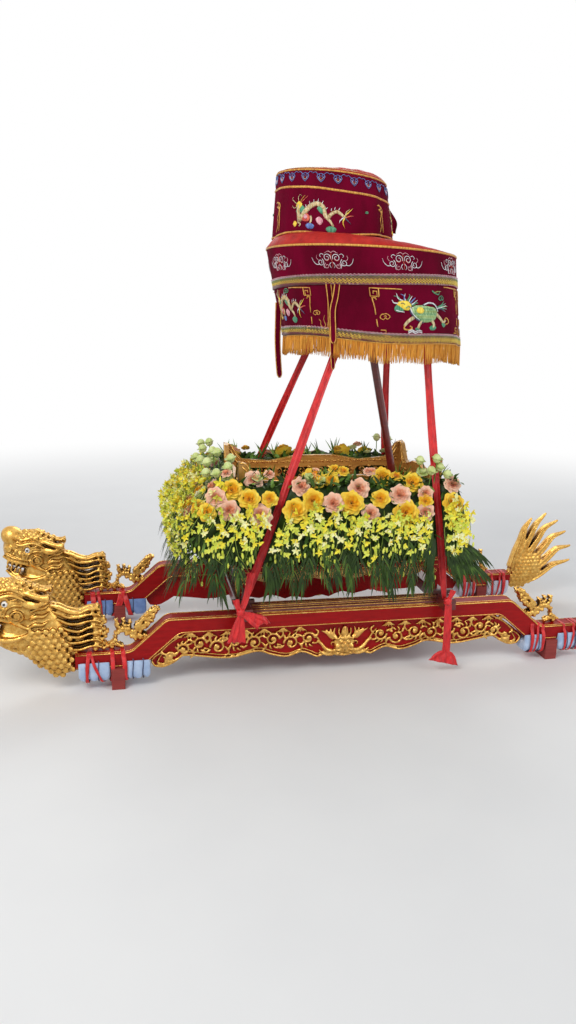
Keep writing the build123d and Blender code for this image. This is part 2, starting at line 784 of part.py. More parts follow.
save("crossbar_front", Pos(-crossbar_x, 0, 0) * crossbar)
save("crossbar_rear", Pos(crossbar_x, 0, 0) * crossbar)
save("foot_blocks", make_foot_blocks())
save("shoulder_pads_front", make_pads(-1))
save("shoulder_pads_rear", make_pads(1))
save("altar_feet", make_feet())
save("altar_aprons", make_altar_aprons())
save("altar_base", make_moulding(base_z, base_height, base_overhang, -1))
save("altar_posts", make_posts())
long_half = altar_half_length - post_size - soft_gap
short_half = altar_half_width - post_size - soft_gap
save("altar_panel_near", make_panel(long_half, altar_half_width))
save("altar_panel_far", Rot(0, 0, 180) * make_panel(long_half, altar_half_width))
save("altar_panel_front", Rot(0, 0, -90) * make_panel(short_half, altar_half_length))
save("altar_panel_rear", Rot(0, 0, 90) * make_panel(short_half, altar_half_length))
save("altar_top", make_moulding(top_z, top_height, top_overhang, 0))
rail_x = altar_half_length + top_overhang - rail_inset
rail_y = altar_half_width + top_overhang - rail_inset
save("railing_near", make_railing(rail_x, rail_y))
save("railing_far", Rot(0, 0, 180) * make_railing(rail_x, rail_y))
end_half = rail_y - rail_thickness - soft_gap
save("railing_front", Rot(0, 0, -90) * make_railing(end_half, rail_x))
save("railing_rear", Rot(0, 0, 90) * make_railing(end_half, rail_x))
save("parasol_socket", make_socket())
save("parasol_shaft", make_shaft())
save("canopy_lower_frame", make_frame(lower_tier))
save("canopy_upper_frame", make_frame(upper_tier))
lower_cover = make_cover(lower_tier) - shaft_plane(lower_rim_z) * Cylinder(shaft_radius + 6, lower_skirt)
save("canopy_lower_cover", lower_cover)
save("canopy_upper_cover", make_cover(upper_tier))
save("canopy_fringe", make_fringe())
save("guy_ribbons", make_ribbons())
for name, bank in zip(("near", "front", "far"), split_bank()):
    save(f"flowers_{name}", bank)
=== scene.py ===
import math
import random

import bpy
from mathutils import Matrix, Vector


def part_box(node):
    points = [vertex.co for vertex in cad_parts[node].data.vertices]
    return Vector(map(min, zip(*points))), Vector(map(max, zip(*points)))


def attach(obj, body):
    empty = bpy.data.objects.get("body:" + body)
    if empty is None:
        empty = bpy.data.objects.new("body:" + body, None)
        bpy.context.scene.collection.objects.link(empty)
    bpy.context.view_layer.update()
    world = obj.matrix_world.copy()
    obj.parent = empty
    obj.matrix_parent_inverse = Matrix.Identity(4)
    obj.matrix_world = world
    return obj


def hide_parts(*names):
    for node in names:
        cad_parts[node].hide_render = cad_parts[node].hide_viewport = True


# Looks of a hand-carried processional palanquin, in metres, in the frame of its solids: +X runs
# along the poles to the tails, the dragon heads are at -X, and the near pole is at -Y.
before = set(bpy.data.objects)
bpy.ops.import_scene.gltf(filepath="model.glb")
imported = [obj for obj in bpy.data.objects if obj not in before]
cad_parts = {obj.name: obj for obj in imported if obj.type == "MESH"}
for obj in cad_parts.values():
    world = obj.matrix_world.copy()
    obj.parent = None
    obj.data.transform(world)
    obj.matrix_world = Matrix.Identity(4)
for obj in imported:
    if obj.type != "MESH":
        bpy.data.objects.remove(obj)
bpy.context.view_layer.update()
rng = random.Random(7)
BODY = "palanquin"

# Sizes read from the frame
pole_low, pole_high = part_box("pole_near")
POLE_END = pole_high.x
POLE_Y = -(pole_low.y + pole_high.y) / 2
POLE_HALF = (pole_high.y - pole_low.y) / 2
BEAM_TOP = pole_high.z
LOW_UNDER = pole_low.z

# Sizes of the pole's bends, as in the solids
BEAM_DEPTH = 0.070
LOW_TOP = 0.163
FLAT_HALF = 0.790
SLOPE_RUN = 0.155
SLOPE_SETBACK = 0.048


# Mesh building
def placed(name, data):
    """A new object of the scene."""
    thing = bpy.data.objects.new(name, data)
    bpy.context.collection.objects.link(thing)
    return thing


class Build:
    """Vertices and faces gathered from many forms, with a material number for each face."""

    def __init__(self):
        self.verts = []
        self.faces = []
        self.numbers = []

    def add(self, verts, faces, number=0):
        base = len(self.verts)
        self.verts += [tuple(v) for v in verts]
        self.faces += [tuple(base + i for i in face) for face in faces]
        self.numbers += [number] * len(faces)

    def join(self, other, matrix=None):
        verts = other.verts if matrix is None else [matrix @ Vector(v) for v in other.verts]
        base = len(self.verts)
        self.verts += [tuple(v) for v in verts]
        self.faces += [tuple(base + i for i in face) for face in other.faces]
        self.numbers += other.numbers

    def mirrored(self, axis):
        """The same forms turned over along x (0) or y (1)."""
        made = Build()
        made.verts = [tuple(-c if i == axis else c for i, c in enumerate(v)) for v in self.verts]
        made.faces = [tuple(reversed(face)) for face in self.faces]
        made.numbers = list(self.numbers)
        return made

    def moved(self, x=0.0, y=0.0, z=0.0):
        made = Build()
        made.join(self, Matrix.Translation((x, y, z)))
        return made

    def plain(self):
        """The same forms, all of the first material."""
        self.numbers = [0] * len(self.faces)
        return self

    def mesh(self, name):
        mesh = bpy.data.meshes.new(name)
        mesh.from_pydata(self.verts, [], self.faces)
        mesh.polygons.foreach_set("material_index", self.numbers)
        mesh.validate()
        mesh.shade_smooth()
        return mesh

    def piece(self, name, materials, slot, replaces=(), body=BODY, most=None):
        """A scene object of these forms that rides on a body, with at most a number of triangles."""
        mesh = self.mesh(name)
        for material in materials:
            mesh.materials.append(material)
        if most:
            mesh = thinned(mesh, most)
        thing = placed(name, mesh)
        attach(thing, body)
        if replaces:
            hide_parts(*replaces)
        return thing


def grid_faces(rows, columns, closed=False, base=0, flip=False):
    """Faces between rows of points. A closed grid joins its last column to its first."""
    width = columns if closed else columns + 1
    faces = []
    for row in range(rows):
        for column in range(columns):
            a = base + row * width + column
            b = base + row * width + (column + 1) % width
            face = (a, b, b + width, a + width)
            faces.append(tuple(reversed(face)) if flip else face)
    return faces


def shell_faces(rows, columns, closed, flip=False):
    """Faces of a thin cloth: one grid of points, a second behind it, and the rims at both ends."""
    width = columns if closed else columns + 1
    block = (rows + 1) * width
    faces = (grid_faces(rows, columns, closed, 0, not flip)
             + grid_faces(rows, columns, closed, block, flip))
    for row, turned in ((0, flip), (rows, not flip)):
        for column in range(columns):
            a = row * width + column
            b = row * width + (column + 1) % width
            face = (a, b, b + block, a + block)
            faces.append(tuple(reversed(face)) if turned else face)
    return faces


def smooth_path(points, steps=6, closed=False):
    """Points along a Catmull-Rom curve through the given points, of any number of columns."""
    count = len(points)
    spans = count if closed else count - 1
    path = []
    for i in range(spans):
        if closed:
            a, b, c, d = (points[(i + k - 1) % count] for k in range(4))
        else:
            a, b = points[max(i - 1, 0)], points[i]
            c, d = points[i + 1], points[min(i + 2, count - 1)]
        for step in range(steps):
            t = step / steps
            path.append(tuple(
                0.5 * (2 * q + (r - p) * t + (2 * p - 5 * q + 4 * r - s) * t * t
                       + (3 * q - p - 3 * r + s) * t ** 3)
                for p, q, r, s in zip(a, b, c, d)))
    if not closed:
        path.append(tuple(points[-1]))
    return path


def ridge(build, path, normals, widths, heights, number=0, sides=8, closed=False):
    """A rounded band along a path: its width lies in the surface and its height on the normals.
    Normals, widths and heights are lists, or one value for the whole path."""
    path = [Vector(p) for p in path]
    count = len(path)
    normals, widths, heights = (
        each if isinstance(each, list) else [each] * count for each in (normals, widths, heights))
    verts = []
    for i, point in enumerate(path):
        ahead = path[(i + 1) % count] if closed else path[min(i + 1, count - 1)]
        behind = path[(i - 1) % count] if closed else path[max(i - 1, 0)]
        along = (ahead - behind).normalized()
        normal = Vector(normals[i])
        across = along.cross(normal).normalized()
        normal = across.cross(along).normalized()
        for side in range(sides):
            turn = 2 * math.pi * side / sides
            offset = across * (widths[i] / 2 * math.cos(turn)) + normal * (heights[i] * math.sin(turn))
            verts.append(point + offset)
    faces = []
    for i in range(count if closed else count - 1):
        a, b = i * sides, ((i + 1) % count) * sides
        for side in range(sides):
            after = (side + 1) % sides
            faces.append((a + side, a + after, b + after, b + side))
    if not closed:
        faces.append(tuple(reversed(range(sides))))
        faces.append(tuple(range((count - 1) * sides, count * sides)))
    build.add(verts, faces, number)


def ball(build, centre, radii, columns=14, rows=8, matrix=None, number=0):
    """An ellipsoid, turned by a matrix."""
    verts = []
    turn = matrix or Matrix.Identity(3)
    for row in range(1, rows):
        tilt = math.pi * row / rows
        for column in range(columns):
            angle = 2 * math.pi * column / columns
            local = Vector((
                radii[0] * math.sin(tilt) * math.cos(angle),
                radii[1] * math.sin(tilt) * math.sin(angle),
                radii[2] * math.cos(tilt)))
            verts.append(Vector(centre) + turn @ local)
    verts.append(Vector(centre) + turn @ Vector((0, 0, radii[2])))
    verts.append(Vector(centre) + turn @ Vector((0, 0, -radii[2])))
    top, bottom = len(verts) - 2, len(verts) - 1
    faces = []
    for column in range(columns):
        after = (column + 1) % columns
        faces.append((top, column, after))
        last = (rows - 2) * columns
        faces.append((bottom, last + after, last + column))
        for row in range(rows - 2):
            a, b = row * columns, (row + 1) * columns
            faces.append((a + column, b + column, b + after, a + after))
    build.add(verts, faces, number)


def pillow(build, outline, centre, half, power=0.5, rings=9, number=0, y=0.0):
    """A closed outline in x, z swelled to both sides; it is star shaped about its centre."""
    count = len(outline)
    verts = []
    levels = [math.sin(math.pi / 2 * k / rings) for k in range(rings, 0, -1)]
    for hand in (-1, 1):
        for share in levels:
            rise = half * (1 - share * share) ** power
            for x, z in outline:
                verts.append((centre[0] + (x - centre[0]) * share, y + hand * rise,
                              centre[1] + (z - centre[1]) * share))
        verts.append((centre[0], y + hand * half, centre[1]))
    faces = []
    block = rings * count + 1
    for hand in (0, 1):
        base = hand * block
        for ring in range(rings - 1):
            for i in range(count):
                j = (i + 1) % count
                a, b = base + ring * count, base + (ring + 1) * count
                faces.append((a + i, a + j, b + j, b + i) if hand == 0 else (a + i, b + i, b + j, a + j))
        for i in range(count):
            j = (i + 1) % count
            a = base + (rings - 1) * count
            tip = base + block - 1
            faces.append((a + i, a + j, tip) if hand == 0 else (a + j, a + i, tip))
    build.add(verts, faces, number)


def spiral(centre, start_radius, end_radius, start, turns, steps=22):
    """Points of a flat spiral, angles in degrees."""
    path = []
    for i in range(steps + 1):
        share = i / steps
        angle = math.radians(start) + 2 * math.pi * turns * share
        radius = start_radius + (end_radius - start_radius) * share
        path.append((centre[0] + radius * math.cos(angle), centre[1] + radius * math.sin(angle)))
    return path


def taper(count, width, tip=0.15, swell=0.35):
    """Widths along a band that swell and then narrow to a tip."""
    made = []
    for i in range(count):
        t = i / (count - 1)
        if t < swell:
            full = min(1.0, (t + 0.12) / swell)
        else:
            full = 1 - (1 - tip) * ((t - swell) / (1 - swell)) ** 1.6
        made.append(width * max(full, tip))
    return made


def baked(thing):
    """A new mesh of an object with its modifiers applied."""
    bpy.context.view_layer.update()
    return bpy.data.meshes.new_from_object(thing.evaluated_get(bpy.context.evaluated_depsgraph_get()))


def rebuilt(mesh):
    """The vertices and faces of a mesh as a new Build."""
    made = Build()
    made.add([v.co for v in mesh.vertices], [tuple(p.vertices) for p in mesh.polygons])
    return made


def thinned(mesh, most):
    """The mesh with its flattest edges collapsed until it has at most a number of triangles."""
    triangles = sum(len(p.vertices) - 2 for p in mesh.polygons)
    if triangles <= most:
        return mesh
    thing = placed("thin", mesh)
    thing.modifiers.new("collapse", "DECIMATE").ratio = most / triangles
    made = baked(thing)
    made.shade_smooth()
    bpy.data.objects.remove(thing)
    return made


def merged(build, fine, most=60000):
    thing = placed("melt", build.mesh("melt"))
    remesh = thing.modifiers.new("remesh", "REMESH")
    remesh.mode = "VOXEL"
    remesh.voxel_size = fine
    smooth = thing.modifiers.new("smooth", "SMOOTH")
    smooth.iterations = 1
    smooth.factor = 0.5
    result = baked(thing)
    bpy.data.objects.remove(thing)
    return rebuilt(thinned(result, most))


# Materials
class Shade:
    """A procedural material, and short ways to make its nodes."""

    def __init__(self, name, roughness=0.5, metallic=0.0, **sockets):
        self.material = bpy.data.materials.new(name)
        self.material.use_nodes = True
        self.tree = self.material.node_tree
        self.skin = self.tree.nodes["Principled BSDF"]
        self.skin.inputs["Metallic"].default_value = metallic
        self.skin.inputs["Roughness"].default_value = roughness
        for key, value in sockets.items():
            self.skin.inputs[key.replace("_", " ")].default_value = value
        self.place = self.node("ShaderNodeTexCoord").outputs["Object"]
        self.bumps = None

    def node(self, kind, **values):
        made = self.tree.nodes.new(kind)
        for key, value in values.items():
            setattr(made, key, value)
        return made

    def feed(self, socket, value):
        if isinstance(value, bpy.types.NodeSocket):
            self.tree.links.new(value, socket)
        else:
            socket.default_value = value

    def stretch(self, scale, turn=(0, 0, 0), source=None):
        made = self.node("ShaderNodeMapping")
        self.feed(made.inputs["Vector"], source or self.place)
        made.inputs["Scale"].default_value = scale
        made.inputs["Rotation"].default_value = turn
        return made.outputs["Vector"]

    def noise(self, scale, detail=3.0, rough=0.5, place=None):
        made = self.node("ShaderNodeTexNoise")
        self.feed(made.inputs["Vector"], place or self.place)
        made.inputs["Scale"].default_value = scale
        made.inputs["Detail"].default_value = detail
        made.inputs["Roughness"].default_value = rough
        return made.outputs["Fac"]

    def cells(self, scale, place=None, feature="F1", randomness=1.0, output="Distance"):
        made = self.node("ShaderNodeTexVoronoi", feature=feature)
        self.feed(made.inputs["Vector"], place or self.place)
        made.inputs["Scale"].default_value = scale
        made.inputs["Randomness"].default_value = randomness
        return made.outputs[output]

    def wave(self, scale, axis="X", distortion=0.0, place=None, profile="SIN"):
        made = self.node("ShaderNodeTexWave", bands_direction=axis, wave_profile=profile)
        self.feed(made.inputs["Vector"], place or self.place)
        made.inputs["Scale"].default_value = scale
        made.inputs["Distortion"].default_value = distortion
        return made.outputs["Fac"]

    def maths(self, kind, a, b=0.0):
        made = self.node("ShaderNodeMath", operation=kind)
        self.feed(made.inputs[0], a)
        self.feed(made.inputs[1], b)
        return made.outputs[0]

    def ramp(self, source, *stops, constant=False):
        made = self.node("ShaderNodeValToRGB")
        self.feed(made.inputs["Fac"], source)
        bar = made.color_ramp
        if constant:
            bar.interpolation = "CONSTANT"
        while len(bar.elements) < len(stops):
            bar.elements.new(0.5)
        for element, (spot, colour) in zip(bar.elements, stops):
            element.position = spot
            element.color = (*colour, 1) if isinstance(colour, tuple) else (colour, colour, colour, 1)
        return made.outputs["Color"]

    def mix(self, share, a, b, kind="MIX"):
        made = self.node("ShaderNodeMix", data_type="RGBA", blend_type=kind)
        self.feed(made.inputs["Factor"], share)
        self.feed(made.inputs["A"], a if not isinstance(a, tuple) else (*a, 1))
        self.feed(made.inputs["B"], b if not isinstance(b, tuple) else (*b, 1))
        return made.outputs["Result"]

    def spread(self, source, low, high):
        """A value from 0 to 1 mapped to a range."""
        made = self.node("ShaderNodeMapRange")
        self.feed(made.inputs["Value"], source)
        made.inputs["To Min"].default_value = low
        made.inputs["To Max"].default_value = high
        return made.outputs["Result"]

    def occlusion_share(self, reach):
        """Ambient occlusion, used to paint shade: 1 in the open and 0 where the surface is closed in."""
        made = self.node("ShaderNodeAmbientOcclusion", samples=6, only_local=True)
        made.inputs["Distance"].default_value = reach
        return made.outputs["AO"]

    def bump(self, height, distance, strength=1.0):
        made = self.node("ShaderNodeBump")
        self.feed(made.inputs["Height"], height)
        made.inputs["Distance"].default_value = distance
        made.inputs["Strength"].default_value = strength
        if self.bumps is not None:
            self.feed(made.inputs["Normal"], self.bumps)
        self.bumps = made.outputs["Normal"]
        self.feed(self.skin.inputs["Normal"], self.bumps)

    def finish(self, colour=None, roughness=None):
        if colour is not None:
            self.feed(self.skin.inputs["Base Color"],
                      colour if not isinstance(colour, tuple) else (*colour, 1))
        if roughness is not None:
            self.feed(self.skin.inputs["Roughness"], roughness)
        return self.material


def make_gilt(name, bright, deep, crevice_shade, reach=0.012):
    """Gold leaf, bright on the high places, with painted shade that turns it brown in the crevices."""
    shade = Shade(name, metallic=0.92, Specular_IOR_Level=0.6)
    unshaded_share = shade.occlusion_share(reach)
    leaf = shade.ramp(shade.noise(60, 4), (0.3, deep), (0.7, bright))
    # Painted shade: the dark colour is laid in where ambient occlusion finds the surface closed in.
    colour = shade.mix(shade.ramp(unshaded_share, (0.38, 0.0), (0.96, 1.0)), crevice_shade, leaf)
    shade.bump(shade.noise(220, 4), 0.0012, 0.5)
    shade.bump(shade.cells(70, feature="SMOOTH_F1"), 0.002, 0.25)
    return shade.finish(colour, shade.spread(shade.noise(45, 4), 0.18, 0.36))


def make_lacquer(name, deep, bright, coat=0.6, roughness=(0.22, 0.4), shine=0.5):
    """Brushed lacquer with faint runs along the wood."""
    shade = Shade(name, Coat_Weight=coat, Coat_Roughness=0.12, Specular_IOR_Level=shine)
    grain = shade.noise(14, 5, place=shade.stretch((1, 6, 6)))
    colour = shade.mix(shade.ramp(grain, (0.3, 0.0), (0.7, 1.0)), deep, bright)
    worn = shade.ramp(shade.noise(90, 6, 0.7), (0.68, 0.0), (0.78, 0.35))
    colour = shade.mix(worn, colour, tuple(0.35 * c for c in deep))
    shade.bump(grain, 0.0015, 0.35)
    shade.bump(shade.noise(300, 2), 0.0004, 0.3)
    return shade.finish(colour, shade.spread(shade.noise(30, 4), *roughness))


def make_wood(name, deep, bright, scale=1.0, roughness=(0.42, 0.65), coat=0.0):
    """Stained wood with grain along x."""
    shade = Shade(name, Coat_Weight=coat, Coat_Roughness=0.2)
    place = shade.stretch((2 * scale, 30 * scale, 30 * scale))
    grain = shade.noise(6, 8, 0.65, place)
    pores = shade.noise(40, 2, 0.5, place)
    colour = shade.mix(shade.ramp(grain, (0.32, 0.0), (0.68, 1.0)), deep, bright)
    shade.bump(grain, 0.0015, 0.5)
    shade.bump(pores, 0.0006, 0.5)
    return shade.finish(colour, shade.spread(grain, *roughness))


def make_cotton(name, deep, bright, weave=900):
    """Woven cotton: crossed threads, soft sheen and a faint print of small marks."""
    shade = Shade(name, roughness=0.85, Sheen_Weight=0.35, Sheen_Roughness=0.5)
    over = shade.wave(weave / 6.3, "DIAGONAL")
    under = shade.wave(weave / 6.3, "Z")
    threads = shade.maths("MULTIPLY", over, under)
    colour = shade.mix(shade.ramp(shade.noise(30, 4), (0.3, 0.0), (0.7, 1.0)), deep, bright)
    shade.bump(threads, 0.0006, 0.5)
    shade.bump(shade.noise(55, 4), 0.004, 0.5)
    return shade.finish(colour, shade.spread(threads, 0.75, 0.92))


def make_satin(name, deep, bright, roughness=(0.32, 0.55)):
    """Satin: fine threads, a soft shine, and creases along the cloth, with painted shade down in the
    creases and painted highlight on their ridges.
    """
    shade = Shade(name, Sheen_Weight=0.3, Sheen_Roughness=0.3, Specular_IOR_Level=0.55)
    threads = shade.wave(260, "DIAGONAL", 0.4)
    creases = shade.noise(70, 5, 0.55, shade.stretch((1.0, 1.0, 0.35)))
    # Painted shade and highlight: the colour follows the creases' height, dark low and bright high.
    colour = shade.mix(shade.ramp(creases, (0.35, 0.0), (0.66, 1.0)), deep, bright)
    shade.bump(creases, 0.003, 0.6)
    shade.bump(threads, 0.0003, 0.4)
    return shade.finish(colour, shade.spread(creases, *roughness))


def make_thread(name, deep, bright, scale=700, shine=0.45):
    """Embroidery silk: short stitches side by side, with a silk shine."""
    shade = Shade(name, Sheen_Weight=0.3, Sheen_Roughness=0.35, Specular_IOR_Level=0.6)
    stitch = shade.noise(scale / 4, 2, 0.5, shade.stretch((1.0, 1.0, 0.25)))
    colour = shade.mix(shade.ramp(stitch, (0.35, 0.0), (0.62, 1.0)), deep, bright)
    shade.bump(stitch, 0.0015, 0.8)
    return shade.finish(colour, shade.spread(stitch, shine, shine + 0.25))


# The third colour of each gilt is the painted shade of its crevices.
GILT = make_gilt("gilt", (0.90, 0.56, 0.15), (0.60, 0.29, 0.05), (0.060, 0.018, 0.004), 0.030)
GILT_FINE = make_gilt("gilt_fine", (0.92, 0.57, 0.16), (0.62, 0.30, 0.06), (0.070, 0.022, 0.006), 0.014)
RED_LACQUER = make_lacquer("red_lacquer", (0.27, 0.0020, 0.0030), (0.38, 0.0040, 0.0045), 0.06,
                           (0.36, 0.52), 0.18)
OCHRE_GOLD = make_lacquer("ochre_gold", (0.42, 0.19, 0.03), (0.62, 0.33, 0.07), 0.3, (0.30, 0.45))
DARK_LACQUER = make_lacquer("dark_lacquer", (0.11, 0.010, 0.010), (0.19, 0.018, 0.014), 0.4)
DARK_WOOD = make_wood("dark_wood", (0.045, 0.012, 0.010), (0.12, 0.030, 0.020), coat=0.3)
BLOCK_WOOD = make_wood("block_wood", (0.20, 0.020, 0.016), (0.34, 0.045, 0.036), 0.7, (0.6, 0.8))
BAMBOO = make_wood("bamboo", (0.30, 0.17, 0.05), (0.55, 0.36, 0.13), 0.5, (0.35, 0.5), 0.3)
PAD_BLUE = make_cotton("pad_blue", (0.33, 0.46, 0.70), (0.52, 0.64, 0.84))
PAD_STRONG = make_cotton("pad_strong", (0.13, 0.24, 0.56), (0.24, 0.37, 0.70))
PAD_PALE = make_cotton("pad_pale", (0.56, 0.58, 0.72), (0.74, 0.75, 0.84))
TIE_DARK = make_satin("tie_dark", (0.03, 0.04, 0.10), (0.07, 0.08, 0.18), (0.5, 0.7))
RED_SATIN = make_satin("red_satin", (0.50, 0.004, 0.008), (0.80, 0.022, 0.022))
INK = make_lacquer("ink", (0.004, 0.004, 0.005), (0.010, 0.010, 0.012), 0.9)
EYE_WHITE = make_lacquer("eye_white", (0.80, 0.78, 0.72), (0.92, 0.91, 0.87), 0.9, (0.1, 0.2))


# Dragon heads, carved in the round and gilded. Points are given out from the pole's front end
# and up from its underside.
def spot(out, up):
    return (-(POLE_END + out / 1000), LOW_UNDER + up / 1000)


NECK = [(0, 0), (30, -24), (78, -28), (128, 8), (177, 52), (214, 80), (248, 104), (290, 150), (296, 200),
        (262, 250), (236, 300), (206, 345), (160, 356), (118, 335), (92, 298), (70, 262), (44, 212),
        (24, 165), (6, 110), (0, 60)]
SKULL = [(140, 215), (200, 216), (262, 222), (304, 232), (344, 246), (376, 268), (385, 300), (386, 326),
         (378, 352), (350, 372), (318, 384), (284, 390), (244, 394), (206, 386), (158, 364), (126, 336),
         (112, 310), (120, 260)]
JAW = [(170, 150), (196, 118), (230, 106), (264, 106), (296, 122), (324, 146), (352, 170), (372, 200),
       (366, 218), (348, 216), (322, 198), (300, 188), (262, 192), (220, 200), (180, 192)]


class Relief:
    """A swelled core, and the means to lay bands and knobs on both of its sides."""

    def __init__(self):
        self.core = Build()
        self.pillows = []

    def swell(self, outline, centre, half, power=0.5, steps=3):
        points = [p[:2] for p in smooth_path([spot(*p) for p in outline], steps, True)]
        middle = spot(*centre)
        pillow(self.core, points, middle, half, power)
        self.pillows.append((points, middle, half, power))

    def rise(self, x, z):
        """Half the carving's thickness over a point of its side."""
        best = 0.0
        for points, (cx, cz), half, power in self.pillows:
            dx, dz = x - cx, z - cz
            reach = math.hypot(dx, dz)
            if reach < 1e-6:
                best = max(best, half)
                continue
            edge = None
            for i in range(len(points)):
                ax, az = points[i][0] - cx, points[i][1] - cz
                j = (i + 1) % len(points)
                bx, bz = points[j][0] - cx, points[j][1] - cz
                cross = dx * (bz - az) - dz * (bx - ax)
                if abs(cross) < 1e-12:
                    continue
                t = (ax * (bz - az) - az * (bx - ax)) / cross
                u = (ax * dz - az * dx) / cross
                if t > 0 and -0.001 <= u <= 1.001:
                    edge = t if edge is None else max(edge, t)
            if edge and edge > 1:
                share = 1 / edge
                best = max(best, half * (1 - share * share) ** power)
        return best

    def band(self, points, widths, height, lift=0.0, steps=5, least=0.012):
        """A rounded band along points, on both sides."""
        flat = smooth_path([spot(*p) for p in points], steps)
        across = []
        for i in range(len(flat)):
            k = min(i / steps, len(widths) - 1)
            low = int(k)
            high = min(low + 1, len(widths) - 1)
            across.append((widths[low] + (widths[high] - widths[low]) * (k - low)) / 1000)
        for hand in (-1, 1):
            path = [(x, hand * max(least, self.rise(x, z) + lift), z) for x, z in flat]
            ridge(self.core, path, (0, hand, 0), across, height / 1000)

    def curl(self, out, up, radius, turns, start, width, height, inner=0.15, lift=0.0):
        """A spiral band on both sides."""
        x, z = spot(out, up)
        coil = spiral((0, 0), radius / 1000, radius * inner / 1000, start, turns, 26)
        for hand in (-1, 1):
            path = [(x + px, hand * (self.rise(x + px, z + pz) + lift), z + pz) for px, pz in coil]
            count = len(path)
            widths = [width / 1000 * (1 - 0.35 * i / count) for i in range(count)]
            ridge(self.core, path, (0, hand, 0), widths, height / 1000)

    def knob(self, out, up, radii, lift=0.0, turn=0.0):
        """A rounded knob on both sides, turned in the side's plane by degrees."""
        x, z = spot(out, up)
        for hand in (-1, 1):
            matrix = Matrix.Rotation(math.radians(turn), 3, "Y")
            ball(self.core, (x, hand * (self.rise(x, z) + lift), z), [r / 1000 for r in radii], 10, 6,
                 matrix=matrix)


def inside(point, outline):
    """Whether a point lies within a closed outline."""
    x, z = point
    hit = False
    for i in range(len(outline)):
        ax, az = outline[i]
        bx, bz = outline[(i + 1) % len(outline)]
        if (az > z) != (bz > z) and x < (bx - ax) * (z - az) / (bz - az) + ax:
            hit = not hit
    return hit


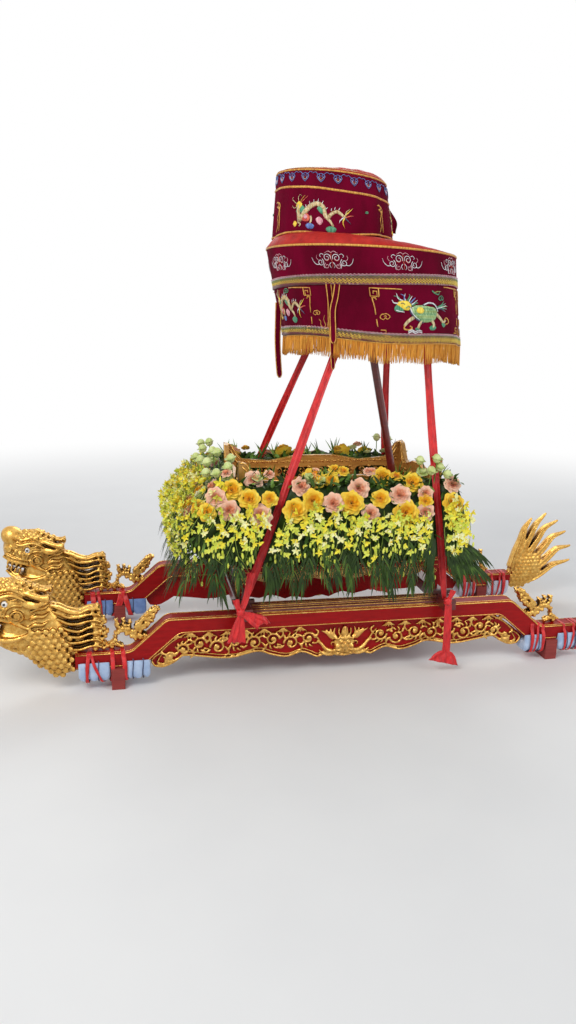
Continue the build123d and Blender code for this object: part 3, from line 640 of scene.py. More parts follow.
def sculpt_head():
    """One dragon head with its pole's middle at y = 0."""
    work = Relief()
    work.swell(NECK, (150, 160), 0.052, 0.38)
    work.swell(SKULL, (250, 310), 0.066, 0.42)
    work.swell(JAW, (262, 150), 0.054, 0.42)
    core = work.core
    # Nose: an upright egg with its bridge, nostrils and the lip's curled end
    x, z = spot(334, 372)
    ball(core, (x, 0, z), (0.053, 0.053, 0.064), 20, 12,
         matrix=Matrix.Rotation(math.radians(-52), 3, "Y"))
    for hand in (-1, 1):
        nx, nz = spot(356, 326)
        ball(core, (nx, hand * 0.034, nz), (0.022, 0.020, 0.018), 12, 8)
    work.curl(352, 326, 17, 1.3, 200, 9, 8, lift=0.002)
    # Lips, the teeth between them, and the tongue
    work.band([(384, 286), (352, 262), (318, 252), (280, 244), (240, 230), (204, 214), (168, 196)],
              [16, 20, 20, 20, 20, 18, 10], 13, 0.000, least=0.03)
    work.band([(372, 300), (340, 282), (304, 272), (262, 264)], [8, 9, 9, 4], 8, 0.003)
    work.band([(374, 212), (350, 188), (316, 170), (276, 158), (236, 158), (200, 168), (166, 186)],
              [14, 20, 22, 22, 20, 18, 8], 13, 0.000, least=0.03)
    for teeth, y, long in ((((366, 232), (348, 222), (329, 212), (310, 206)), 0.040, 0.014),
                           (((362, 254), (342, 246), (322, 240), (302, 234)), 0.042, 0.012)):
        for out, up in teeth:
            x, z = spot(out, up)
            for hand in (-1, 1):
                ball(core, (x, hand * y, z), (0.0065, 0.007, long), 8, 6,
                     matrix=Matrix.Rotation(0.35, 3, "Y"))
    tongue = smooth_path([spot(*p) for p in ((210, 206), (260, 210), (306, 222), (344, 236), (362, 246))],
                         5)
    ridge(core, [(px, 0, pz) for px, pz in tongue], (0, 0, 1), 0.044, 0.008)
    # Cheek: a large curl with rings round it
    work.curl(222, 262, 34, 2.2, 170, 11, 11, lift=0.002)
    work.knob(222, 262, (9, 10, 9), 0.006)
    for reach, start, turns in ((48, 60, 0.46), (60, 70, 0.40), (72, 84, 0.33)):
        work.curl(222, 262, reach, turns, start, 9, 8, inner=0.96)
    # Eye socket, brow and temple
    work.curl(262, 318, 21, 1.0, 0, 9, 9, inner=1.0, lift=0.001)
    work.band([(316, 352), (292, 344), (262, 350), (232, 352), (200, 338), (172, 320)],
              [8, 16, 18, 16, 14, 5], 14, 0.002)
    work.band([(300, 366), (270, 370), (240, 372), (212, 362), (184, 344)], [6, 14, 16, 12, 4], 12, 0.0)
    for out, up, size in ((298, 300, 12), (282, 282, 11), (318, 314, 11), (312, 336, 10), (330, 300, 10)):
        work.knob(out, up, (size, 9, size * 0.8), 0.001, 20)
    # Knobs in overlapping rows over the crown
    crown = [spot(*p) for p in ((302, 394), (278, 402), (253, 405), (228, 403), (204, 396), (180, 384),
                                (156, 368))]
    for row, across in enumerate((0.0, 0.017, 0.033, 0.047)):
        for i, (px, pz) in enumerate(crown):
            drop = (0.0, 0.004, 0.012, 0.024)[row]
            shift = 0.011 if row % 2 else 0.0
            for hand in ((1,) if row == 0 else (-1, 1)):
                size = 0.0140 + 0.0025 * math.sin(i * 2.1 + row)
                ball(core, (px + shift, hand * across, pz - drop - 0.004),
                     (size, size * 0.85, size * 0.9), 10, 6)
    # Horn and ear, swept back
    for hand in (-1, 1):
        horn = smooth_path([(*spot(o, u), y) for o, u,
                            y in ((206, 358, 0.040), (176, 352, 0.052), (146, 342, 0.060),
                                  (118, 334, 0.063), (92, 332, 0.062))], 5)
        path = [(px, hand * py, pz) for px, pz, py in horn]
        count = len(path)
        flared = [0.024 + 0.014 * (i / (count - 1)) ** 4 for i in range(count)]
        ridge(core, path, (0, 0, 1), flared, [0.5 * w for w in flared])
        ball(core, path[-1], (0.008, 0.017, 0.018), 12, 8)
        ear = smooth_path([(*spot(o, u), y) for o, u, y in (
            (200, 322, 0.058), (166, 310, 0.068), (136, 308, 0.072), (106, 316, 0.066))], 5)
        path = [(px, hand * py, pz) for px, pz, py in ear]
        count = len(path)
        ridge(core, path, (0, hand, 0.3), taper(count, 0.036, 0.1), taper(count, 0.009, 0.3))
    # Beard: long curved hairs under the jaw, and flame tongues behind the cheek
    for shift in range(5):
        work.band([(310 - 26 * shift, 140 - 9 * shift), (276 - 24 * shift, 112 - 10 * shift),
                   (238 - 22 * shift, 98 - 8 * shift), (196 - 16 * shift, 96 - 4 * shift),
                   (164 - 12 * shift, 110)], [5, 10, 12, 10, 3], 8, 0.0, least=0.022)
    for flame in range(5):
        base = (150 - 4 * flame, 214 + 34 * flame)
        work.band([(base[0] + 26, base[1] - 8), (base[0], base[1] + 4), (base[0] - 28, base[1] + 2),
                   (base[0] - 52, base[1] + 16)], [10, 20, 15, 3], 11, 0.001)
    # Scales in overlapping rows down the neck to the pole's underside
    outline = [spot(*p) for p in NECK]
    for row in range(13):
        for column in range(14):
            out = -4 + 29 * column + (14.5 if row % 2 else 0) + 1.4 * row
            up = -22 + 23 * row
            if not inside(spot(out, up), outline):
                continue
            if up > 205 or (up > 92 and out > 190) or (up > 60 and out > 238):
                continue
            work.knob(out, up, (15.0, 10, 13.0), 0.0065, 38)
    # Spines along the throat and the crest between the horns
    for i in range(8):
        share = i / 7
        x, z = spot(62 + 190 * share, -26 + 118 * share + 8 * math.sin(share * 3))
        ball(core, (x, 0, z), (0.017, 0.012, 0.010), 10, 6,
             matrix=Matrix.Rotation(math.radians(30), 3, "Y"))
    return merged(core, 0.0030, 43000)


def eyeball(hand):
    """Eyeball, iris and pupil, on one side of the head."""
    made = Build()
    x, z = spot(262, 318)
    y = hand * 0.0655
    ball(made, (x, y, z), (0.0135, 0.0125, 0.0135), 24, 14)
    centre = Vector((x - 0.0015, y + hand * 0.0105, z + 0.001))
    ball(made, centre, (0.0062, 0.0032, 0.0062), 16, 8, number=1)
    return made


head = sculpt_head()
eyes = Build()
for hand in (-1, 1):
    eyes.join(eyeball(hand))
for side, y in (("near", -POLE_Y), ("far", POLE_Y)):
    head.moved(y=y).piece("head_" + side, [GILT], "gilt", ["dragon_head_" + side])
    eyes.moved(y=y).piece("eyes_" + side, [EYE_WHITE, INK], "gilt")


# Poles: lacquer, with gold lines along both edges of each outer face
def rounded(points, radius, steps=8):
    """A line of straight runs with round bends."""
    made = [points[0]]
    for before, corner, after in zip(points, points[1:], points[2:]):
        a = Vector((before[0] - corner[0], before[1] - corner[1])).normalized()
        b = Vector((after[0] - corner[0], after[1] - corner[1])).normalized()
        half = math.acos(max(-1.0, min(1.0, a.dot(b)))) / 2
        reach = radius / math.tan(half)
        centre = Vector(corner) + (a + b).normalized() * (radius / math.sin(half))
        start = Vector(corner) + a * reach - centre
        end = Vector(corner) + b * reach - centre
        for i in range(steps + 1):
            chord = (start + (end - start) * (i / steps)).normalized() * radius
            made.append(tuple(centre + chord))
    made.append(points[-1])
    return made


def divided(points, gap=0.03):
    """The same line with points no further apart than the gap."""
    made = []
    for a, b in zip(points, points[1:]):
        count = max(1, int(math.dist(a, b) / gap))
        made += [tuple(p + (q - p) * i / count for p, q in zip(a, b)) for i in range(count)]
    return made + [points[-1]]


UNDER_FLAT = FLAT_HALF - SLOPE_SETBACK
UNDER_LOW = UNDER_FLAT + SLOPE_RUN * (BEAM_TOP - BEAM_DEPTH - LOW_UNDER) / (BEAM_TOP - LOW_TOP)
SLOPE_FOOT = FLAT_HALF + SLOPE_RUN
UNDER = BEAM_TOP - BEAM_DEPTH
LINE_INSET = 0.0055
RAIL_HALF = 0.425


def pole_lines():
    """Gold lines on one pole's faces and along its top edges, with the pole's middle at y = 0."""
    made = Build()
    top = [(POLE_END - 0.002, LOW_TOP), (SLOPE_FOOT + 0.002, LOW_TOP), (FLAT_HALF + 0.002, BEAM_TOP)]
    under = [(POLE_END - 0.002, LOW_UNDER), (UNDER_LOW + 0.002, LOW_UNDER), (UNDER_FLAT - 0.002, UNDER)]
    top = rounded([(-x, z - LINE_INSET) for x, z in top]
                  + [(x, z - LINE_INSET) for x, z in reversed(top)], 0.058)
    under = rounded([(-x, z + LINE_INSET) for x, z in under]
                    + [(x, z + LINE_INSET) for x, z in reversed(under)], 0.058)
    for hand in (-1, 1):
        for line, width in ((top, 0.006), (under, 0.0045)):
            path = [(x, hand * POLE_HALF, z) for x, z in divided(line)]
            ridge(made, path, (0, hand, 0), width, 0.0024)
        edge = [(x, hand * (POLE_HALF - 0.006), z + LINE_INSET) for x, z in divided(top)]
        normals = []
        for i in range(len(edge)):
            a, b = edge[max(i - 1, 0)], edge[min(i + 1, len(edge) - 1)]
            normals.append(Vector((-(b[2] - a[2]), 0, b[0] - a[0])))
        ridge(made, edge, normals, 0.005, 0.0016, 0, 6)
    return made


def dress(name, material):
    """Gives a plain solid its material."""
    node = bpy.data.objects[name]
    for i in range(max(1, len(node.material_slots))):
        if len(node.data.materials) <= i:
            node.data.materials.append(material)
        else:
            node.data.materials[i] = material


for material, names in (
        (RED_LACQUER, "pole_near pole_far pole_apron_near pole_apron_far"),
        (RED_LACQUER, "altar_base altar_top altar_posts altar_feet"),
        (RED_LACQUER, "altar_panel_near altar_panel_far altar_panel_front altar_panel_rear"),
        (DARK_LACQUER, "crossbar_front crossbar_rear step_rail_near step_rail_far"),
        (DARK_LACQUER, "parasol_socket parasol_shaft"),
        (OCHRE_GOLD, "railing_near railing_far railing_front railing_rear altar_aprons"),
        (DARK_WOOD, "peg_front_near peg_front_far peg_rear_near peg_rear_far"),
        (BLOCK_WOOD, "foot_blocks"),
        (BAMBOO, "canopy_lower_frame canopy_upper_frame")):
    for name in names.split():
        dress(name, material)
lines = pole_lines()
for side, y in (("near", -POLE_Y), ("far", POLE_Y)):
    lines.moved(y=y).piece("pole_lines_" + side, [GILT_FINE], "gilt", most=4000)
rail_lines = Build()
for rail_y in (-POLE_Y, POLE_Y):
    for offset, z in ((0.030, 0.3165), (0.030, 0.3035), (0.021, 0.3325), (0.021, 0.3235)):
        for hand in (-1, 1):
            path = [(x / 20 * RAIL_HALF, rail_y + hand * offset, z) for x in range(-20, 21)]
            ridge(rail_lines, path, (0, hand, 0), 0.0042, 0.0012, 0, 6)
    for hand in (-1, 1):
        path = [(x / 20 * RAIL_HALF, rail_y + hand * 0.012, 0.336) for x in range(-20, 21)]
        ridge(rail_lines, path, (0, 0, 1), 0.004, 0.0010, 0, 6)
rail_lines.piece("step_rail_lines", [GILT_FINE], "gilt", most=3000)


# Apron carving: pierced scrolls of cloud and vine with a mask in the middle, gilded
APRON_EDGE = [(1.0, 138), (0.986, 156), (0.953, 162), (0.92, 156), (0.88, 138), (0.84, 116), (0.745, 126),
              (0.652, 138), (0.582, 138), (0.52, 126), (0.452, 118), (0.386, 138), (0.308, 152),
              (0.233, 134), (0.186, 146), (0.142, 162), (0.086, 146), (0.035, 160), (0.0, 164)]
APRON_HALF = UNDER_LOW - 0.036


def apron_carving():
    """The carving on the near apron's outer face; y = 0 is that face and -y is outward."""
    work = Build()

    def band(points, width, height, tip=0.35, lift=0.0, steps=5):
        flat = smooth_path([(x / 1000, UNDER - d / 1000) for x, d in points], steps)
        path = [(x, -0.002 - lift, z) for x, z in flat]
        count = len(path)
        widths = [width / 1000] * count if tip >= 1 else taper(count, width / 1000, tip, 0.3)
        heights = [height / 1000 * (0.45 + 0.55 * w / (width / 1000)) for w in widths]
        ridge(work, path, (0, -1, 0), widths, heights)

    def knob(x, d, size, high=None):
        radii = (size / 1000, (high or size * 0.6) / 1000, size / 1000)
        ball(work, (x / 1000, -0.003, UNDER - d / 1000), radii, 12, 8)

    def curl(x, d, radius, start, turns, width, height):
        steps = int(16 * abs(turns)) + 6
        flat = spiral((x / 1000, UNDER - d / 1000), radius / 1000, radius * 0.18 / 1000, start, turns,
                      steps)
        path = [(px, -0.002, pz) for px, pz in flat]
        count = len(path)
        widths = [width / 1000 * (1 - 0.4 * i / count) for i in range(count)]
        ridge(work, path, (0, -1, 0), widths, [height / 1000 * w * 1000 / width for w in widths])

    def side(hand, points, *sizes):
        band([(hand * x, d) for x, d in points], *sizes)

    edge = [(share * APRON_HALF * 1000, drop - 5) for share, drop in APRON_EDGE]
    slope = [(share, (UNDER - LOW_UNDER) * 1000 * share) for share in (0.3, 0.6, 0.86)]
    for hand in (-1, 1):
        end = [(UNDER_FLAT * 1000 + (UNDER_LOW - UNDER_FLAT) * 1000 * s - 16, d + 4) for s, d in slope]
        side(hand, [(UNDER_FLAT * 1000 - 40, 6)] + end + edge[:1], 9, 6, 1.0)
        side(hand, edge, 11, 7, 1.0)
        side(hand, [(x * 0.985, d - 13) for x, d in edge[1:]], 5, 5, 1.0)
        side(hand, [(0, 5), (200, 5), (400, 5), (600, 5), (702, 5)], 7, 5, 1.0)
        # Scrolls: a curled stem with a leaf fan above and tongues below, alternately up and down
        units = ((168, 66, 30, -1), (246, 84, 34, 1), (330, 62, 32, -1), (412, 72, 34, 1),
                 (494, 60, 32, -1), (574, 82, 34, 1), (652, 60, 30, -1), (722, 84, 28, 1),
                 (782, 112, 22, -1))
        for x, d, radius, way in units:
            curl(hand * x, d, radius, 90 * way + 90, 1.45 * hand * way, 13, 12)
            knob(hand * x, d, 10, 11)
            knob(hand * (x + 12), d - 22 * way, 5.5)
            for i in range(4):
                angle = math.radians(40 + 30 * i)
                root = (x + radius * 0.9 * math.cos(angle), d - way * radius * 0.9 * math.sin(angle))
                tip = (x + radius * 1.55 * math.cos(angle + 0.35),
                       d - way * radius * 1.5 * math.sin(angle + 0.2))
                middle = ((root[0] + tip[0]) / 2 + 5, (root[1] + tip[1]) / 2)
                side(hand, [root, middle, tip], 12, 11, 0.2, 0.0, 4)
            side(hand, [(x - radius, d), (x - radius - 16, d + way * 26), (x - radius + 2, d + way * 44)],
                 11, 10, 0.3)
            side(hand, [(x + radius - 4, d + way * 8), (x + radius + 16, d + way * 20),
                        (x + radius + 30, d + way * 8)], 11, 10, 0.3)
            # Leaf fan against the beam
            for i in range(5):
                lean = (i - 2) * 9
                side(hand, [(x + 38, 8), (x + 38 + lean, 24), (x + 38 + lean * 1.8, 38 - abs(i - 2) * 4)],
                     9, 9, 0.3, 0.0, 4)
        # End loop
        side(hand, [(812, 96), (828, 118), (836, 138), (824, 150), (806, 144), (800, 126), (812, 112)],
             8, 7, 0.8)
        # Arms of the mask: clawed scrolls that hold the flames
        side(hand, [(24, 124), (56, 136), (88, 122), (108, 96), (128, 84)], 21, 13, 0.45)
        side(hand, [(30, 140), (60, 152), (92, 148), (116, 128)], 16, 11, 0.35)
        for i in range(4):
            side(hand, [(108, 98), (116 + 5 * i, 84 - 8 * i), (118 + 11 * i, 74 - 12 * i)], 10, 9, 0.2)
        for i in range(4):
            side(hand, [(30 + 8 * i, 80), (50 + 12 * i, 52 - 2 * i), (44 + 22 * i, 20 + 5 * i)], 15, 11,
                 0.12)
    # Mask: brows, eyes, snout, cheeks, teeth and beard
    ball(work, (0, 0.002, UNDER - 0.104), (0.050, 0.020, 0.048), 24, 14)
    for hand in (-1, 1):
        ball(work, (hand * 0.017, -0.016, UNDER - 0.090), (0.0085, 0.008, 0.0085), 14, 10)
        side(hand, [(6, 80), (20, 70), (38, 76), (50, 64)], 10, 9, 0.25, 0.010)
        ball(work, (hand * 0.009, -0.019, UNDER - 0.112), (0.0085, 0.0085, 0.0075), 12, 8)
        ball(work, (hand * 0.032, -0.012, UNDER - 0.114), (0.012, 0.009, 0.012), 12, 8)
        side(hand, [(0, 124), (16, 124), (32, 132), (42, 124)], 8, 8, 0.3, 0.012)
        side(hand, [(0, 140), (14, 142), (28, 148), (38, 158)], 9, 8, 0.25, 0.006)
        side(hand, [(40, 96), (54, 92), (62, 100), (56, 110)], 8, 8, 0.4, 0.002)
        for i in range(3):
            ball(work, (hand * (0.005 + 0.009 * i), -0.017, UNDER - 0.131 - 0.0012 * i),
                 (0.0036, 0.004, 0.0052), 8, 6)
        side(hand, [(8, 66), (12, 44), (6, 20)], 10, 10, 0.12, 0.004)
        side(hand, [(18, 68), (28, 46), (26, 22)], 10, 10, 0.12, 0.003)
    ball(work, (0, -0.021, UNDER - 0.104), (0.0075, 0.009, 0.016), 12, 8)
    ball(work, (0, -0.014, UNDER - 0.074), (0.008, 0.008, 0.012), 12, 8)
    band([(0, 66), (0, 44), (0, 14)], 11, 11, 0.12, 0.005)
    melted = merged(work, 0.0027, 43000)
    kept = Build()
    kept.verts = [(x, min(0.0, y), z) for x, y, z in melted.verts]
    kept.faces, kept.numbers = melted.faces, melted.numbers
    return kept


carving = apron_carving()
face_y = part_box("apron_carving_near")[1].y
carving.moved(y=face_y).piece("apron_scrolls_near", [GILT_FINE], "carved_gilt", ["apron_carving_near"])
carving.mirrored(1).moved(y=-face_y).piece("apron_scrolls_far", [GILT_FINE], "carved_gilt",
                                           ["apron_carving_far"])


# Manes, crests and tails: carved and gilded
def sculpt_mane():
    """The strands behind a head, tied by an upright of cloud knobs."""
    work = Build()
    foot = LOW_TOP + 0.0003
    root_x = -POLE_END - 0.066
    for strand in range(7):
        z = foot + 0.018 + 0.0285 * strand
        lean = 0.004 * math.sin(strand * 1.7)
        points = [(root_x - 0.036 + 0.001 * strand, z + 0.036), (root_x + 0.004, z + 0.024),
                  (root_x + 0.044, z + 0.003), (root_x + 0.088, z - 0.002 + lean),
                  (root_x + 0.128, z + 0.010), (root_x + 0.160, z + 0.010),
                  (root_x + 0.178, z + 0.002 - lean)]
        if strand == 6:
            points = [(x, up - 0.006) for x, up in points]
        flat = smooth_path(points, 5)
        for hand in (-1, 1):
            for part, (lift, width) in enumerate(((0.017, 0.022), (0.027, 0.012))):
                path = [(x, hand * lift, up + 0.002 * part) for x, up in flat]
                count = len(path)
                widths = taper(count, width, 0.6, 0.3)
                ridge(work, path, (0, hand, 0), widths, [0.62 * w for w in widths])
    flat = smooth_path([(root_x - 0.02, foot + 0.012), (root_x + 0.03, foot + 0.050),
                        (root_x + 0.012, foot + 0.13), (root_x - 0.03, foot + 0.205)], 6)
    ridge(work, [(x, 0, z) for x, z in flat], (0, 1, 0), 0.060, 0.024)
    # A pierced upright of cloud knobs that ties the strands
    for i in range(9):
        for hand in (-1, 1):
            z = foot + 0.014 + 0.022 * i
            x = root_x + 0.150 + 0.006 * math.sin(i * 2.2)
            ball(work, (x, hand * 0.016, z), (0.012, 0.014, 0.012), 12, 8)
            ball(work, (x + 0.018, hand * 0.014, z + 0.009), (0.011, 0.011, 0.010), 10, 6)
            if i < 7:
                ball(work, (x + 0.034, hand * 0.011, z - 0.002), (0.010, 0.010, 0.009), 10, 6)
            if i in (0, 2, 3, 5):
                ball(work, (x + 0.049, hand * 0.010, z + 0.006), (0.0095, 0.009, 0.0095), 10, 6)
    return merged(work, 0.0032, 24000)


CREST = [(140, 22, 12), (151, 8, 12), (157, 28, 14), (177, 19, 14), (194, 11, 12), (166, 40, 12),
         (168, 56, 11), (174, 74, 12), (188, 92, 16), (178, 104, 13), (175, 117, 11), (173, 130, 9),
         (217, 82, 18), (204, 110, 12), (202, 128, 10), (226, 100, 13), (231, 118, 10), (242, 68, 18),
         (262, 50, 17), (288, 56, 16), (268, 88, 17), (285, 102, 17), (303, 122, 17), (320, 142, 17),
         (337, 160, 14), (350, 172, 10), (262, 110, 10), (285, 126, 10), (300, 146, 10), (318, 165, 10),
         (302, 98, 10), (322, 119, 10)]


def sculpt_crest():
    """A flame crest: a limb of cloud knobs with a foot on the slope and a claw over the mane."""
    work = Build()
    chance = random.Random(11)

    def spot_at(inward, up):
        return -POLE_END + inward / 1000, LOW_TOP + up / 1000

    for inward, up, radius in CREST:
        x, z = spot_at(inward, up)
        slim = radius > 14
        for hand in (-1, 1):
            for k in range(4 if slim else 2):
                angle = 2 * math.pi * k / 4 + chance.random() * 1.5
                reach = radius * 0.00066
                size = radius * chance.uniform(0.00044, 0.00058)
                ball(work, (x + reach * math.cos(angle), hand * 0.010, z + reach * math.sin(angle)),
                     (size, 0.0095, size), 10, 6)
        ball(work, (x, 0, z), (radius * 0.00092, 0.012, radius * 0.00092), 12, 8)
    limb = [(168, 60), (180, 88), (206, 84), (236, 74), (262, 84), (290, 108), (322, 142), (348, 168)]
    foot = [(236, 74), (256, 56), (280, 50)]
    claw = [(190, 90), (178, 106), (172, 132)]
    for points, width in ((limb, 0.022), (foot, 0.022), (claw, 0.014),
                          ([(208, 88), (204, 108), (202, 134)], 0.013),
                          ([(222, 84), (228, 104), (233, 124)], 0.013),
                          ([(140, 18), (160, 26), (186, 14)], 0.016),
                          ([(164, 30), (166, 46), (170, 62)], 0.014)):
        flat = smooth_path([spot_at(*p) for p in points], 5)
        path = [(x, 0, z) for x, z in flat]
        ridge(work, path, (0, 1, 0), taper(len(path), width, 0.5), 0.012)
        for hand in (-1, 1):
            side = [(x, hand * 0.011, z) for x, z in flat]
            ridge(work, side, (0, hand, 0), taper(len(path), width * 0.4, 0.4), 0.006)
    for i in range(9):
        t = i / 8
        x, z = spot_at(258 + 84 * t, 98 + 76 * t)
        for hand in (-1, 1):
            curl = spiral((x - 0.004, z + 0.006), 0.009, 0.002, 200 + 40 * i, 1.1, 12)
            path = [(px, hand * 0.014, pz) for px, pz in curl]
            ridge(work, path, (0, hand, 0), 0.005, 0.004, 0, 6)
    return merged(work, 0.0026, 11000)


TONGUES = [((60, 20), (130, 18), (205, 52), (285, 96), (388, 128)),
           ((90, 60), (165, 84), (235, 138), (300, 190), (384, 214)),
           ((80, 100), (146, 140), (206, 200), (262, 262), (346, 300)),
           ((60, 120), (112, 176), (160, 246), (208, 316), (290, 366)),
           ((40, 120), (78, 186), (112, 262), (150, 338), (214, 410)),
           ((20, 90), (40, 166), (66, 240), (82, 314), (128, 384))]


def sculpt_tail():
    """The tail: a scaled body that splits into flame tongues with ridges along them."""
    work = Relief()
    body = [(0, 0), (30, -20), (84, -26), (150, 6), (190, 50), (204, 110), (176, 168), (112, 198),
            (60, 180), (24, 120), (4, 64)]

    def back(out, up):
        return (POLE_END + out / 1000, LOW_UNDER + up / 1000)

    points = [p[:2] for p in smooth_path([back(*p) for p in body], 3, True)]
    middle = back(104, 86)
    pillow(work.core, points, middle, 0.030, 0.35)
    work.pillows.append((points, middle, 0.030, 0.35))
    for tongue in TONGUES:
        flat = smooth_path([back(*p) for p in tongue], 7)
        count = len(flat)
        flat = [(x + 0.005 * math.sin(0.42 * i) * i / count, z + 0.008 * math.sin(0.42 * i) * i / count)
                for i, (x, z) in enumerate(flat)]
        widths = [0.046 * (1 - 0.80 * (i / (count - 1)) ** 2.6) for i in range(count)]
        path = [(x, 0, z) for x, z in flat]
        ridge(work.core, path, (0, 1, 0), widths, [0.55 * w for w in widths])
        for hand in (-1, 1):
            for shift in (-0.25, 0.25):
                line = []
                for i, (x, z) in enumerate(flat):
                    ax, az = flat[max(i - 1, 0)]
                    bx, bz = flat[min(i + 1, count - 1)]
                    along = Vector((bx - ax, bz - az)).normalized()
                    line.append((x - along.y * shift * widths[i], hand * 0.46 * widths[i],
                                 z + along.x * shift * widths[i]))
                ridge(work.core, line, (0, hand, 0), [0.32 * w for w in widths],
                      [0.16 * w + 0.001 for w in widths])
    for row in range(10):
        for column in range(10):
            out = 6 + 22 * column + (11 if row % 2 else 0)
            up = -16 + 20 * row
            x, z = back(out, up)
            if inside((x, z), points):
                for hand in (-1, 1):
                    y = hand * (work.rise(x, z) + 0.001)
                    ball(work.core, (x, y, z), (0.0135, 0.006, 0.012), 10, 6,
                         matrix=Matrix.Rotation(-0.7, 3, "Y"))
    return merged(work.core, 0.0034, 22000)


mane, crest, tail = sculpt_mane(), sculpt_crest(), sculpt_tail()
for side, y in (("near", -POLE_Y), ("far", POLE_Y)):
    mane.moved(y=y).piece("mane_" + side, [GILT], "gilt", ["dragon_mane_" + side])
    crest.moved(y=y).piece("crest_front_" + side, [GILT], "gilt", ["flame_crest_front_" + side])
    crest.mirrored(0).moved(y=y).piece("crest_rear_" + side, [GILT], "gilt", ["flame_crest_rear_" + side])
    tail.moved(y=y).piece("tail_flames_" + side, [GILT], "gilt", ["tail_" + side])


# Canopy: two tiers of velvet with satin roofs. Angles are in degrees round a tier from its rear,
# with the near side at 270. A share runs from 0 at the rim to 1 at the hem.
class Tier:
    """One ring of hanging cloth, from its rim to its hem."""

    def __init__(self, radius, centre, rim_z, rim_tilt, skirt, hem_radius, hem_shift, hem_tilt, rise,
                 folds):
        self.radius, self.centre, self.rim_z, self.skirt = radius, centre, rim_z, skirt
        self.hem_radius, self.hem_x = hem_radius, centre + hem_shift
        self.rim_tilt, self.hem_tilt = math.radians(rim_tilt), math.radians(hem_tilt)
        self.rise = rise
        self.folds = folds

    def ring(self, turn, radius, centre, z, tilt):
        """A point of a tilted circle."""
        local = radius * math.cos(turn)
        return Vector((centre + local * math.cos(tilt), radius * math.sin(turn),
                       z - local * math.sin(tilt)))

    def fold(self, turn, share):
        """How far the cloth's folds stand out."""
        depth = 0.0
        for count, phase, size in self.folds:
            depth += size * math.sin(count * turn + phase + 0.8 * share)
        return depth * share ** 0.8

    def point(self, degrees, share, out=0.0):
        """A point of the skirt, or one a distance outside it."""
        turn = math.radians(degrees)
        reach = out + (self.fold(turn, share) if share > 0 else 0.0)
        rim = self.ring(turn, self.radius + reach, self.centre, self.rim_z, self.rim_tilt)
        hem = self.ring(turn, self.hem_radius + reach, self.hem_x, self.rim_z - self.skirt, self.hem_tilt)
        sag = 0.012 * share * (0.5 + 0.5 * math.cos(4 * turn + 0.6)) - 0.006 * share
        made = rim.lerp(hem, share)
        made.z -= sag if share > 0 else 0
        return made

    def on(self, degrees, share, u, v, lift):
        """A place u along and v above a point of the skirt, in metres."""
        turn = degrees + math.degrees(u / self.radius)
        return self.point(turn, share - v / self.skirt, lift)

    def outward(self, degrees):
        turn = math.radians(degrees)
        return Vector((math.cos(turn), math.sin(turn), 0))

    def skin(self, rows, columns):
        """The skirt as a thin closed cloth."""
        shares = [0.004 + 0.996 * i / rows for i in range(rows + 1)]
        verts = [self.point(360 * column / columns, share, inset)
                 for inset in (0.0, -CLOTH_THICK) for share in shares for column in range(columns)]
        made = Build()
        made.add(verts, shell_faces(rows, columns, True))
        return made

    def band(self, build, share, width, height, number=0, columns=360, lift=0.0, wobble=0.0):
        """A flat-topped trim sewn round the skirt."""
        path, normals = [], []
        for column in range(columns):
            degrees = 360 * column / columns
            here = share(degrees) if callable(share) else share
            here = here + wobble * math.sin(math.radians(degrees) * 7)
            path.append(self.point(degrees, here, lift))
            normals.append(self.outward(degrees))
        ridge(build, path, normals, width, height, number, 8, True)

    def stroke(self, build, degrees, share, points, width, height=0.0014, number=0, steps=4, lift=0.0022,
               tip=1.0):
        """An embroidered line; points are in millimetres from the motif's middle."""
        flat = smooth_path(points, steps) if steps > 1 else points
        path = [self.on(degrees, share, u / 1000, v / 1000, lift) for u, v in flat]
        count = len(path)
        widths = [width / 1000 * (1 - (1 - tip) * (i / max(1, count - 1)) ** 1.3) for i in range(count)]
        ridge(build, path, [self.outward(degrees + math.degrees(u / 1000 / self.radius)) for u,
                            v in flat], widths, [height * w / widths[0] for w in widths], number, 6)

    def patch(self, build, degrees, share, outline, number=0, height=0.003, lift=0.0015):
        """A filled embroidered shape, padded in its middle."""
        flat = smooth_path(outline, 4, True)
        mid_u = sum(p[0] for p in flat) / len(flat)
        mid_v = sum(p[1] for p in flat) / len(flat)
        verts, faces = [], []
        count = len(flat)
        for reach, up in ((1.0, 0.0), (0.92, 0.6), (0.5, 1.0)):
            for u, v in flat:
                verts.append(self.on(degrees, share, (mid_u + (u - mid_u) * reach) / 1000,
                                     (mid_v + (v - mid_v) * reach) / 1000, lift + height * up))
        verts.append(self.on(degrees, share, mid_u / 1000, mid_v / 1000, lift + height))
        for ring in range(2):
            for i in range(count):
                j = (i + 1) % count
                faces.append((ring * count + i, ring * count + j, (ring + 1) * count + j,
                              (ring + 1) * count + i))
        for i in range(count):
            faces.append((2 * count + i, 2 * count + (i + 1) % count, 3 * count))
        build.add(verts, faces, number)


CLOTH_THICK = 0.0016
ROOF_THICK = 0.0015
LOWER = Tier(radius=0.427, centre=0.127, rim_z=1.842, rim_tilt=2.0, skirt=0.381, hem_radius=0.411,
             hem_shift=0.065, hem_tilt=2.7, rise=0.066,
             folds=[(5, 0.4, 0.0060), (9, 1.9, 0.0040), (17, 0.7, 0.0026), (31, 2.2, 0.0010)])
UPPER = Tier(radius=0.241, centre=-0.017, rim_z=2.146, rim_tilt=4.8, skirt=0.251, hem_radius=0.264,
             hem_shift=0.012, hem_tilt=1.0, rise=0.038,
             folds=[(4, 2.4, 0.0045), (11, 0.3, 0.0034), (19, 1.1, 0.0022), (33, 0.4, 0.0008)])

